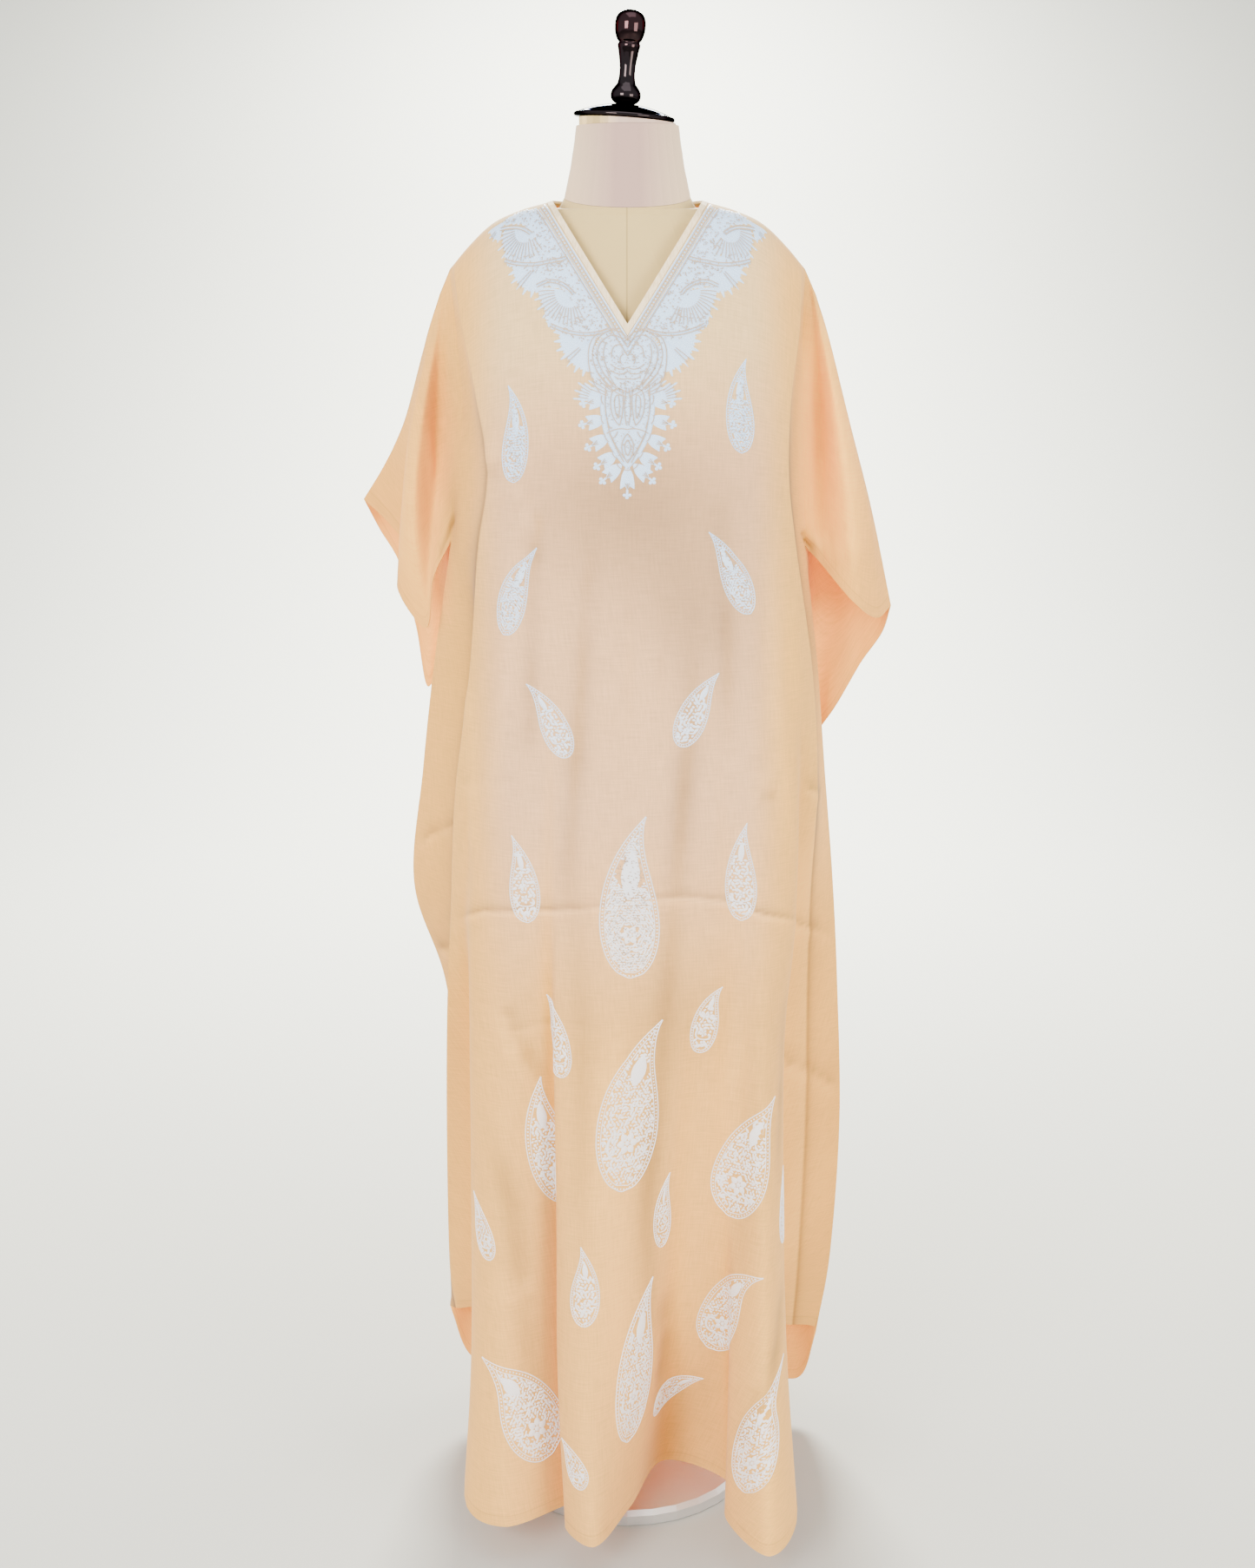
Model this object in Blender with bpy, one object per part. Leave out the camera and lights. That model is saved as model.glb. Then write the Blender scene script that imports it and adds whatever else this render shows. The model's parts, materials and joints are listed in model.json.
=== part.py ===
"""A long kaftan worn by a limbless dress form.

The kaftan is two wide panels, front and back, with the sleeves cut in one with them, joined along
the shoulders and sleeve tops and down the two side seams, and a narrow binding round the V neck.
Each panel is a cloth wall lofted through fold lines: every line runs from the shoulder to the hem,
and its place is given at named sections. Sizes in the tables are millimetres; X is to the right as
the front is seen, Y points to the back and Z up, with the floor at Z = 0.
"""
import math

import bpy
import numpy as np

MM = 0.001
NEAR = 0.01

# Driving sizes of the kaftan, in millimetres
CLOTH_WALL = 1.6
SEAM_GAP = 0.3
NECK_POINT_X = 84.0
NECK_POINT_Z = 1466.0
BACK_NECK_DIP = 6.0
V_ROW = 1.5
UNDERARM_Z = 1112.0
HEM_Z = 50.0
BINDING_WIDTH = 6.0
BINDING_THICKNESS = 2.4

# Sections, counted from the shoulder line (0) through the underarm (4) to the hem (11)
UNDERARM_ROW = 4
HEM_ROW = 11
SECTION_HEIGHTS = {"waist": 980.0, "hip": 850.0, "seat": 710.0, "thigh": 580.0,
                   "knee": 400.0, "shin": 220.0, "hem": HEM_Z}
ROWS = (0, 0.06, 0.2, 0.5, 1, 1.5, 2, 2.5, 3, 3.5, 4, 4.5, 5, 5.5, 6, 6.5, 7, 7.5, 8, 8.5, 9, 9.5,
        10, 10.5, 11)

# The cloth over the chest and shoulder blades: at each height, where the shoulder slope or the
# side lies (half_width) and how far the cloth stands in front of and behind the middle plane.
# Columns: height, half_width, front, back
CHEST = (
    (1466, 80, 58, 72),
    (1456, 115, 70, 80),
    (1443, 142, 78, 88),
    (1421, 166, 86, 95),
    (1398, 186, 94, 101),
    (1346, 196, 108, 110),
    (1300, 200, 119, 115),
    (1210, 203, 131, 118),
    (UNDERARM_Z, 206, 136, 118),
)
SHOULDER_ROWS = 5
SHOULDER_SAMPLES = 240
CHEST_ROUNDNESS = 2.2
SIDE_DRAW_IN = 4.0

# Body lines at shoulder, yoke, chest, bust and underarm: the crease between body and sleeve
# (x, y, z), and the x of the fold where the front turns back to the side
ARM_LINE = {
    "left": ((-186, 0, 1398), (-178, -24, 1325), (-173, -28, 1252), (-182, -27, 1186), (-189, -20, 1116)),
    "right": ((186, 0, 1398), (184, -10, 1325), (186, -14, 1248), (189, -14, 1176), (191, -12, 1110)),
}
FOLD_X = {"left": (-180, -170, -155, -143, -155), "right": (180, 177, 168, 167, 177)}
BACK_ARM_LINE = {
    "left": ((-186, 0, 1398), (-192, 52, 1325), (-196, 66, 1252), (-196, 46, 1186), (-189, -20, 1116)),
    "right": ((186, 0, 1398), (192, 52, 1325), (197, 66, 1248), (198, 48, 1178), (191, -12, 1110)),
}

# Front fold lines, left to right as seen. across: where the line lies above the underarm, from
# the neck edge (0) to the side fold (1). Then (x, y) at waist, hip, seat, thigh, knee, shin and
# hem, and the height of the hem there. Side seams and side valleys follow the arm line above.
FRONT_LINES = (
    ("side_seam_left", None,
     (-213, 12), (-231, 32), (-246, 48), (-214, 70), (-200, 85), (-211, 100), (-222, 104), 142),
    ("side_valley_left", None,
     (-164, -40), (-184, -30), (-193, -20), (-189, 20), (-204, 60), (-217, 84), (-219, 92), 147),
    ("side_fold_left", -1.0,
     (-168, -80), (-186, -74), (-195, -60), (-204, -35), (-213, 22), (-217, 62), (-212, 78), 152),
    ("lobe_valley_left", -0.9,
     (-152, -98), (-168, -96), (-178, -80), (-172, -45), (-165, -5), (-163, 25), (-165, 45), 166),
    ("lobe_edge_left", -0.8,
     (-136, -112), (-150, -116), (-166, -118), (-170, -123), (-171, -138), (-173, -156), (-181, -184), 50),
    ("lobe_middle_left", -0.62,
     (-108, -128), (-118, -134), (-128, -140), (-134, -152), (-136, -172), (-137, -192), (-136, -223), 50),
    ("pleat_valley", -0.44,
     (-72, -136), (-78, -141), (-83, -146), (-80, -148), (-70, -148), (-66, -158), (-60, -180), 50),
    ("first_flute_edge", -0.38,
     (-62, -138), (-68, -144), (-74, -151), (-78, -160), (-77, -174), (-77, -192), (-69, -224), 50),
    ("first_flute_crest", -0.18,
     (-26, -143), (-30, -150), (-36, -158), (-42, -170), (-44, -192), (-44, -218), (-38, -260), 50),
    ("first_flute_flank", 0.0,
     (14, -142), (20, -148), (26, -153), (30, -158), (23, -160), (20, -168), (2, -188), 50),
    ("trough", 0.3,
     (58, -139), (66, -143), (70, -144), (68, -141), (60, -134), (54, -120), (44, -93), 50),
    ("second_flute_valley", 0.5,
     (92, -133), (100, -136), (105, -137), (106, -136), (106, -137), (112, -136), (117, -140), 50),
    ("second_flute_edge", 0.57,
     (104, -130), (112, -134), (118, -136), (121, -140), (120, -148), (115, -163), (109, -206), 50),
    ("second_flute_crest", 0.7,
     (130, -122), (142, -127), (148, -134), (148, -147), (149, -168), (151, -203), (153, -276), 50),
    ("lobe_edge_right", 0.84,
     (166, -98), (180, -98), (181, -100), (172, -108), (173, -122), (178, -152), (188, -212), 50),
    ("lobe_valley_right", 0.92,
     (183, -84), (187, -66), (178, -22), (166, 2), (160, 22), (161, 36), (164, 50), 145),
    ("side_fold_right", 1.0,
     (198, -62), (208, -42), (207, 12), (208, 42), (211, 62), (207, 72), (203, 80), 128),
    ("side_valley_right", None,
     (199, -28), (213, -5), (226, 40), (233, 62), (239, 80), (233, 88), (223, 94), 120),
    ("side_seam_right", None,
     (209, 8), (223, 35), (238, 60), (248, 75), (257, 90), (251, 98), (237, 101), 113),
)
FRONT_STEPS = (2, 2, 3, 3, 3, 3, 2, 2, 3, 3, 3, 2, 3, 3, 3, 3, 2, 2)

# Back fold lines, with the same columns; across runs from arm line (-1) to arm line (1), and
# NECK_ACROSS is the line that starts at the neck point
NECK_ACROSS = NECK_POINT_X / ARM_LINE["right"][0][0]
BACK_LINES = (
    ("side_seam_left", -1.0,
     (-213, 12), (-231, 32), (-246, 48), (-214, 70), (-200, 85), (-211, 100), (-222, 104), 142),
    ("back_side_left", -0.85,
     (-190, 74), (-202, 92), (-212, 104), (-198, 118), (-186, 134), (-190, 138), (-197, 104), 72),
    ("back_valley_left", -0.65,
     (-148, 108), (-154, 118), (-158, 128), (-156, 134), (-152, 138), (-150, 132), (-152, 106), 52),
    ("back_fold_left", -NECK_ACROSS,
     (-100, 122), (-104, 132), (-106, 141), (-108, 152), (-110, 166), (-112, 180), (-114, 198), 50),
    ("back_trough_left", -0.22,
     (-48, 122), (-50, 128), (-52, 132), (-54, 136), (-54, 138), (-52, 138), (-50, 132), 50),
    ("back_crest", 0.0, (0, 125), (0, 132), (0, 140), (2, 150), (4, 164), (6, 180), (8, 204), 50),
    ("back_trough_right", 0.22,
     (48, 122), (50, 128), (54, 132), (58, 136), (60, 138), (60, 136), (58, 130), 50),
    ("back_fold_right", NECK_ACROSS,
     (100, 122), (104, 132), (108, 142), (112, 152), (114, 166), (116, 180), (118, 200), 50),
    ("back_valley_right", 0.65,
     (148, 108), (154, 120), (160, 130), (164, 136), (166, 142), (166, 136), (164, 114), 50),
    ("back_side_right", 0.85,
     (190, 70), (203, 92), (214, 110), (218, 124), (222, 138), (219, 134), (215, 96), 46),
    ("side_seam_right", 1.0,
     (209, 8), (223, 35), (238, 60), (248, 75), (257, 90), (251, 98), (237, 101), 113),
)
BACK_STEPS = (3, 3, 3, 3, 3, 3, 3, 3, 3, 3)

# The fold along the shoulder is rounded: just below it each layer stands off by FOLD_RADIUS,
# reached at FOLD_ROW and gone again one section below the shoulder
FOLD_RADIUS = 5.0
FOLD_ROW = 0.2

# Top edge of each sleeve at shoulder, yoke, chest, bust and cuff, shared by front and back
SLEEVE_EDGE = {
    "left": ((-197.5, 0, 1372), (-215, 8, 1318), (-240, 40, 1242), (-266, 62, 1192), (-293, 70, 1150)),
    "right": ((198, 0, 1372), (214.5, 2, 1322), (238, 4, 1238), (264, 7, 1146), (289, 12, 1040)),
}
# Sleeve lines from the arm line outwards, at the same five sections; the edge above comes last.
# At the shoulder they start evenly between the arm line and the edge, so only four are given.
SLEEVES = {
    ("left", "front"): (
        ("trough", (-196, -11, 1323), (-203, 6, 1240), (-206, 2, 1165), (-209, -24, 1076)),
        ("lobe", (-203, -13, 1322), (-219, -20, 1234), (-228, -26, 1140), (-219, -14, 1020)),
        ("fold", (-209, -10, 1321), (-230, -14, 1236), (-242, -14, 1146), (-251, 2, 1062)),
        ("recess", (-213, -5, 1320), (-230, 20, 1238), (-238, 36, 1162), (-240, 42, 1092)),
        ("flap", (-215, 1, 1319), (-235, 31, 1240), (-252, 50, 1178), (-262, 58, 1122)),
    ),
    ("left", "back"): (
        ("inner", (-203, 44, 1322), (-211, 76, 1240), (-214, 66, 1160), (-212, 36, 1050)),
        ("low", (-209, 37, 1321), (-220, 84, 1238), (-222, 82, 1120), (-224, 48, 942)),
        ("outer", (-214, 26, 1320), (-234, 78, 1240), (-242, 94, 1140), (-238, 66, 1010)),
        ("turn", (-216, 17, 1319), (-241, 62, 1241), (-260, 92, 1168), (-258, 92, 1078)),
        ("near_edge", (-216, 12, 1318.5), (-242, 50, 1241.5), (-267, 78, 1184), (-280, 92, 1116)),
    ),
    ("right", "front"): (
        ("trough", (197, -5, 1323), (206, 4, 1240), (207, 0, 1165), (207, -10, 1092)),
        ("bulge", (206, -12, 1324), (224, -24, 1235), (238, -30, 1140), (244, -27, 1050)),
        ("outer", (212, -7, 1326), (235, -12, 1237), (259, -14, 1138), (272, -8, 1030)),
    ),
    ("right", "back"): (
        ("inner", (203, 44, 1322), (212, 68, 1240), (216, 62, 1160), (213, 32, 1030)),
        ("low", (208, 34, 1323), (224, 66, 1228), (236, 72, 1110), (227, 52, 906)),
        ("outer", (213, 20, 1325), (236, 42, 1232), (260, 50, 1120), (262, 58, 966)),
        ("near_edge", (214, 11, 1326), (239, 22, 1235), (266, 28, 1132), (284, 44, 1004)),
    ),
}
SLEEVE_STEPS = {
    ("left", "front"): (3, 3, 3, 3, 2, 2),
    ("left", "back"): (3, 3, 3, 2, 2, 2),
    ("right", "front"): (3, 4, 3, 3),
    ("right", "back"): (3, 3, 3, 2, 2),
}

# Driving sizes of the dress form, in millimetres
FORM_CLEARANCE = 2.5
FORM_BOTTOM_Z = 780.0
NECK_SEAM_Z = 1470.0
NECK_SEAM_TILT = 0.19
NECK_TOP_Z = 1541.0
NECK_SEAM_GAP = 0.4
POLE_RADIUS = 13.0
# The flange under the torso: (radius, how far below the torso's foot)
POLE_FLANGE = ((POLE_RADIUS, 26), (27, 20), (35, 6), (35, 0))
BASE_RADIUS = 150.0
BASE_THICKNESS = 18.0
COLLAR_RADIUS = 30.0
COLLAR_HEIGHT = 30.0
CAP_CENTRE_X = -3.5
CAP_TILT = math.radians(4.0)
CAP_Z = 1547.0
ROUND_SIDES = 32

# Rings of the torso up to the shoulders. Columns: height, half_width, front, back
TORSO = (
    (FORM_BOTTOM_Z, 150, 92, 104),
    (800, 160, 98, 112),
    (860, 164, 101, 116),
    (920, 155, 96, 104),
    (980, 136, 88, 84),
    (1040, 124, 84, 74),
    (1090, 130, 92, 80),
    (1140, 141, 108, 90),
    (1200, 151, 120, 98),
    (1250, 156, 116, 102),
    (1300, 161, 104, 103),
    (1350, 168, 92, 98),
    (1385, 172, 82, 92),
)
# Rings of the shoulders, each at the height where the shoulder line has that half width.
# Columns: half_width, front, back, tilt
SHOULDER_RINGS = (
    (166, 74, 80, 0.0),
    (154, 70, 76, 0.0),
    (138, 66, 72, 0.0),
    (118, 62.5, 67, 0.02),
    (98, 62, 62, 0.03),
)
SHOULDER_ROUNDNESS = 1.7
TORSO_ROUNDNESS = 2.15
SLOPE_STEP = 1.0
# The neck, from the torso's last ring but one up. Columns: height, half_width, front, back, tilt
NECK_BASE = (1460, 71, 61.2, 60.5, 0.05)
NECK_BASE_ROUNDNESS = 1.9
NECK_SEAM = (NECK_SEAM_Z, 65.5, 60.5, 60.5, NECK_SEAM_TILT)
NECK = ((1500, 59, 56, 57), (1525, 55, 53, 54), (NECK_TOP_Z, 53, 51, 52))
CAP_SEAT_RADIUS = 50.0

# Turned profiles: (radius, height) upwards from each piece's own foot
CAP_PROFILE = ((0, 0), (49, 0), (51.5, 1), (52.3, 2.6), (51.5, 4.4), (48.5, 5.6), (46, 6.6),
               (38, 9.6), (28, 12.4), (19, 14.2), (12, 15), (0, 15))
FINIAL_PROFILE = ((0, 0), (9, 0), (11.5, 1.2), (14.4, 4), (15.6, 8), (15, 12), (12.6, 16), (9.6, 20),
                  (8.4, 25), (8, 31), (8.2, 37), (9.2, 44), (10.4, 51), (11.6, 58), (10.6, 60),
                  (12.6, 62.5), (15, 69), (15.8, 76), (15, 83), (12, 88), (7, 91.2), (0, 92.4))
BASE_PROFILE = ((0, 0), (BASE_RADIUS - 2, 0), (BASE_RADIUS, 2), (BASE_RADIUS, BASE_THICKNESS - 5),
                (BASE_RADIUS - 5, BASE_THICKNESS), (COLLAR_RADIUS + 8, BASE_THICKNESS + 1),
                (COLLAR_RADIUS, BASE_THICKNESS + 6), (COLLAR_RADIUS - 4, BASE_THICKNESS + COLLAR_HEIGHT),
                (0, BASE_THICKNESS + COLLAR_HEIGHT))


def spline(knots, values, at):
    """Smooth curve through values at knots, read at one place or an array of places."""
    knots = np.asarray(knots, float)
    values = np.asarray(values, float)
    spans = np.diff(knots)
    shape = (-1,) + (1,) * (values.ndim - 1)
    slopes = np.diff(values, axis=0) / spans.reshape(shape)
    tangents = np.empty_like(values)
    tangents[0] = slopes[0]
    tangents[-1] = slopes[-1]
    before = spans[:-1].reshape(shape)
    after = spans[1:].reshape(shape)
    tangents[1:-1] = (slopes[:-1] * after + slopes[1:] * before) / (before + after)
    place = np.atleast_1d(np.asarray(at, float))
    index = np.clip(np.searchsorted(knots, place, side="right") - 1, 0, len(knots) - 2)
    span = spans[index]
    t = (place - knots[index]) / span
    t = t.reshape((-1,) + (1,) * (values.ndim - 1))
    span = span.reshape(t.shape)
    result = ((2 * t ** 3 - 3 * t ** 2 + 1) * values[index]
              + (t ** 3 - 2 * t ** 2 + t) * span * tangents[index]
              + (-2 * t ** 3 + 3 * t ** 2) * values[index + 1]
              + (t ** 3 - t ** 2) * span * tangents[index + 1])
    return result[0] if np.ndim(at) == 0 else result


def curve_across(points, steps, corners=()):
    """Points of one row: smooth through the fold lines, with steps[i] spans in interval i.

    At a line whose number is in corners the curve is broken, so that each side keeps its own way.
    """
    points = np.asarray(points, float)
    ends = [0, *sorted(corners), len(points) - 1]
    result = [points[0]]
    for first, last in zip(ends, ends[1:]):
        part = points[first:last + 1]
        chords = np.sqrt(np.linalg.norm(np.diff(part, axis=0), axis=1))
        knots = np.concatenate(([0.0], np.cumsum(chords)))
        places = []
        for index, count in enumerate(steps[first:last]):
            for step in range(1, count + 1):
                places.append(knots[index] + (knots[index + 1] - knots[index]) * step / count)
        result.extend(spline(knots, part, np.array(places)))
    return np.array(result)


class Chest:
    """The cloth's form over the shoulders, chest and shoulder blades."""

    def __init__(self):
        table = np.array(CHEST, float)
        self.heights = table[::-1, 0]
        self.widths = table[::-1, 1]
        self.fronts = table[::-1, 2]
        self.backs = table[::-1, 3]
        slope = table[:SHOULDER_ROWS]
        self.slope_x = np.linspace(slope[0, 1], slope[-1, 1], SHOULDER_SAMPLES)
        self.slope_z = spline(slope[:, 1], slope[:, 0], self.slope_x)

    def shoulder_height(self, x):
        """Height of the shoulder line at x; inside the neck it stays at the neck point."""
        return float(np.interp(abs(x), self.slope_x, self.slope_z))

    def half_width(self, z):
        """Half width of the cloth at a height: the shoulder slope, then the side."""
        if z >= self.slope_z[-1]:
            return float(np.interp(z, self.slope_z[::-1], self.slope_x[::-1]))
        return float(spline(self.heights, self.widths, z))

    def depth(self, x, z, depths):
        """How far the cloth stands off the middle plane at (x, z)."""
        ratio = min(abs(x) / self.half_width(z), 1.0)
        height = min(max(z, self.heights[0]), self.heights[-1])
        rounding = (1.0 - ratio ** CHEST_ROUNDNESS) ** (1.0 / CHEST_ROUNDNESS)
        return float(spline(self.heights, depths, height)) * rounding

    def front_y(self, x, z):
        """Y of the front panel at (x, z)."""
        return -self.depth(x, z, self.fronts)

    def back_y(self, x, z):
        """Y of the back panel at (x, z)."""
        return self.depth(x, z, self.backs)

    def thread_height(self, x, row):
        """Height at x of a row above the underarm: such rows run level with the shoulder line."""
        top = self.shoulder_height(x)
        return top + (UNDERARM_Z - top) * row / UNDERARM_ROW


CHEST_FORM = Chest()


def section_points(line):
    """(x, y, z) of a fold line at the sections below the underarm."""
    places = line[2:-1]
    heights = list(SECTION_HEIGHTS.values())
    heights[-1] = line[-1]
    return [(x, y, z) for (x, y), z in zip(places, heights)]


def fold_rounding(row, outward):
    """How far a layer stands off the middle plane at a row just below the shoulder fold."""
    rest = max(0.0, 1.0 - row / FOLD_ROW)
    return outward * FOLD_RADIUS * math.sqrt(1.0 - rest ** 2) * max(0.0, 1.0 - row)


def arm_point(side, row, table):
    """Point of an arm line at a row between shoulder and underarm."""
    point = spline(range(UNDERARM_ROW + 1), table[side], row)
    point[1] += fold_rounding(row, -1.0 if table is ARM_LINE else 1.0)
    return point


def side_seam_point(line, row):
    """Point of a side seam from the underarm down, the same for front and back."""
    side = "left" if line[0].endswith("left") else "right"
    places = [ARM_LINE[side][-1]] + section_points(line)
    return spline(range(UNDERARM_ROW, HEM_ROW + 1), np.array(places, float), row)


def neck_edge_x(row):
    """Half opening of the V neck at a row; 0 from the foot of the V down."""
    return NECK_POINT_X * max(0.0, 1.0 - row / V_ROW)


def chest_point(across, row, open_side):
    """Point of the front panel above the underarm, on the chest between the two side folds."""
    side = "left" if across < 0 or open_side < 0 and across == 0 else "right"
    sign = -1.0 if side == "left" else 1.0
    edge = sign * neck_edge_x(row)
    fold = float(spline(range(UNDERARM_ROW + 1), FOLD_X[side], row))
    x = edge + abs(across) * (fold - edge)
    z = CHEST_FORM.thread_height(x, row)
    y = 0.0 if row == 0 else CHEST_FORM.front_y(x, z)
    return np.array((x, y, z))


def side_valley_point(side, row):
    """Point midway between arm line and side fold, drawn in a little, above the underarm."""
    arm = arm_point(side, row, ARM_LINE)
    across = -1.0 if side == "left" else 1.0
    fold = chest_point(across, row, across)
    middle = (arm + fold) / 2
    draw_in = SIDE_DRAW_IN * min(row, 1.0)
    return middle - np.array((across * draw_in, 0.0, 0.0))


def front_upper_point(line, row, open_side):
    """Point of a front fold line at a row above the underarm."""
    name, across = line[0], line[1]
    side = "left" if name.endswith("left") else "right"
    if name.startswith("side_seam"):
        return arm_point(side, row, ARM_LINE)
    if name.startswith("side_valley"):
        return side_valley_point(side, row)
    return chest_point(across, row, open_side)


def front_point(line, row, open_side=0):
    """Point of a front fold line at any row."""
    seam = line[0].startswith("side_seam")
    if row < UNDERARM_ROW - 1 or seam and row <= UNDERARM_ROW:
        return front_upper_point(line, row, open_side)
    if seam:
        return side_seam_point(line, row)
    upper = [front_upper_point(line, r, 0) for r in range(2, UNDERARM_ROW + 1)]
    knots = list(range(2, HEM_ROW + 1))
    return spline(knots, np.array(upper + section_points(line), float), row)


def back_upper_point(line, row):
    """Point of a back fold line at a row above the underarm."""
    name, across = line[0], line[1]
    side = "left" if across < 0 else "right"
    if name.startswith("side_seam"):
        return arm_point(side, row, BACK_ARM_LINE)
    x = across * abs(float(arm_point("right", row, BACK_ARM_LINE)[0]))
    neck = min(abs(x) / NECK_POINT_X, 1.0)
    dip = BACK_NECK_DIP * (1.0 - neck ** 2) * (1.0 - row / UNDERARM_ROW)
    z = CHEST_FORM.thread_height(x, row) - dip
    on_shoulder = row == 0 and abs(x) >= NECK_POINT_X
    y = 0.0 if on_shoulder else CHEST_FORM.back_y(x, z)
    return np.array((x, y, z))


def back_point(line, row, open_side=0):
    """Point of a back fold line at any row."""
    seam = line[0].startswith("side_seam")
    if row < UNDERARM_ROW - 1 or seam and row <= UNDERARM_ROW:
        return back_upper_point(line, row)
    if seam:
        return side_seam_point(line, row)
    upper = [back_upper_point(line, r) for r in range(2, UNDERARM_ROW + 1)]
    knots = list(range(2, HEM_ROW + 1))
    return spline(knots, np.array(upper + section_points(line), float), row)


def sleeve_points(side, row, layer):
    """Points of the sleeve lines at a row, from beside the arm line to the sleeve's edge."""
    lines = SLEEVES[side, layer]
    start = np.array(ARM_LINE[side][0], float)
    edge = SLEEVE_EDGE[side]
    outward = -1.0 if layer == "front" else 1.0
    result = []
    for index, line in enumerate(lines):
        top = start + (np.array(edge[0]) - start) * (index + 1) / (len(lines) + 1)
        point = spline(range(UNDERARM_ROW + 1), np.array([top, *line[1:]], float), row)
        point[1] += fold_rounding(row, outward)
        result.append(point)
    result.append(spline(range(UNDERARM_ROW + 1), edge, row))
    return result


def written_out(lines, steps):
    """The lines with those between two lines of the chest's form added, and the steps to match."""
    all_lines = []
    all_steps = []
    for line, following, count in zip(lines, lines[1:], steps):
        all_lines.append(line)
        ends = [end for end in (line, following) if end[1] is None or end[0].startswith("side_seam")]
        if ends:
            all_steps.append(count)
            continue
        for step in range(1, count):
            all_lines.append(("between", line[1] + (following[1] - line[1]) * step / count))
        all_steps += [1] * count
    all_lines.append(lines[-1])
    return all_lines, all_steps


def row_points(lines, steps, point, row, left, right, side_steps, split):
    """The points of one row, in one run or, above the foot of the V, in two."""
    middle = next(i for i, line in enumerate(lines) if line[1] == 0.0)
    last = len(lines) - 1
    neck_lines = [i for i, line in enumerate(lines) if line[1] in (-NECK_ACROSS, NECK_ACROSS)]
    lead, tail = side_steps
    if split:
        first = left + [point(line, row, -1) for line in lines[:middle + 1]]
        second = [point(line, row, 1) for line in lines[middle:]] + right
        return (curve_across(first, [*lead, *steps[:middle]], (len(left),)),
                curve_across(second, [*steps[middle:], *tail], (last - middle,)))
    whole = left + [point(line, row, 0) for line in lines] + right
    corners = [len(left), len(left) + last] if left else []
    corners += [len(left) + i for i in neck_lines if row < 1]
    return (curve_across(whole, [*lead, *steps, *tail], corners),)


def panel_rows(lines, point, steps, layer, row_places, density, has_v):
    """Rows of a panel: each is a dict with its row number and its points in column order.

    Columns are counted over the left sleeve, the body and the right sleeve. Above the foot of the
    V the middle column of the front has two points, one for each side.
    """
    left_steps = [density * n for n in reversed(SLEEVE_STEPS["left", layer])]
    right_steps = [density * n for n in SLEEVE_STEPS["right", layer]]
    body_steps = [density * n for n in steps]
    middle_line = next(i for i, line in enumerate(lines) if line[1] == 0.0)
    upper_lines, upper_steps = written_out(lines, body_steps)
    rows = []
    for row in row_places:
        with_sleeves = row <= UNDERARM_ROW
        split = has_v and row < V_ROW
        on_form = row < UNDERARM_ROW - 1
        halves = row_points(upper_lines if on_form else lines, upper_steps if on_form else body_steps,
                            point, row,
                            sleeve_points("left", row, layer)[::-1] if with_sleeves else [],
                            sleeve_points("right", row, layer) if with_sleeves else [],
                            (left_steps, right_steps) if with_sleeves else ([], []), split)
        rows.append({"row": row, "halves": halves, "offset": 0 if with_sleeves else sum(left_steps),
                     "split": split})
    columns = {"left": sum(left_steps), "body": sum(body_steps), "right": sum(right_steps),
               "middle": sum(left_steps) + sum(body_steps[:middle_line])}
    return rows, columns


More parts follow.
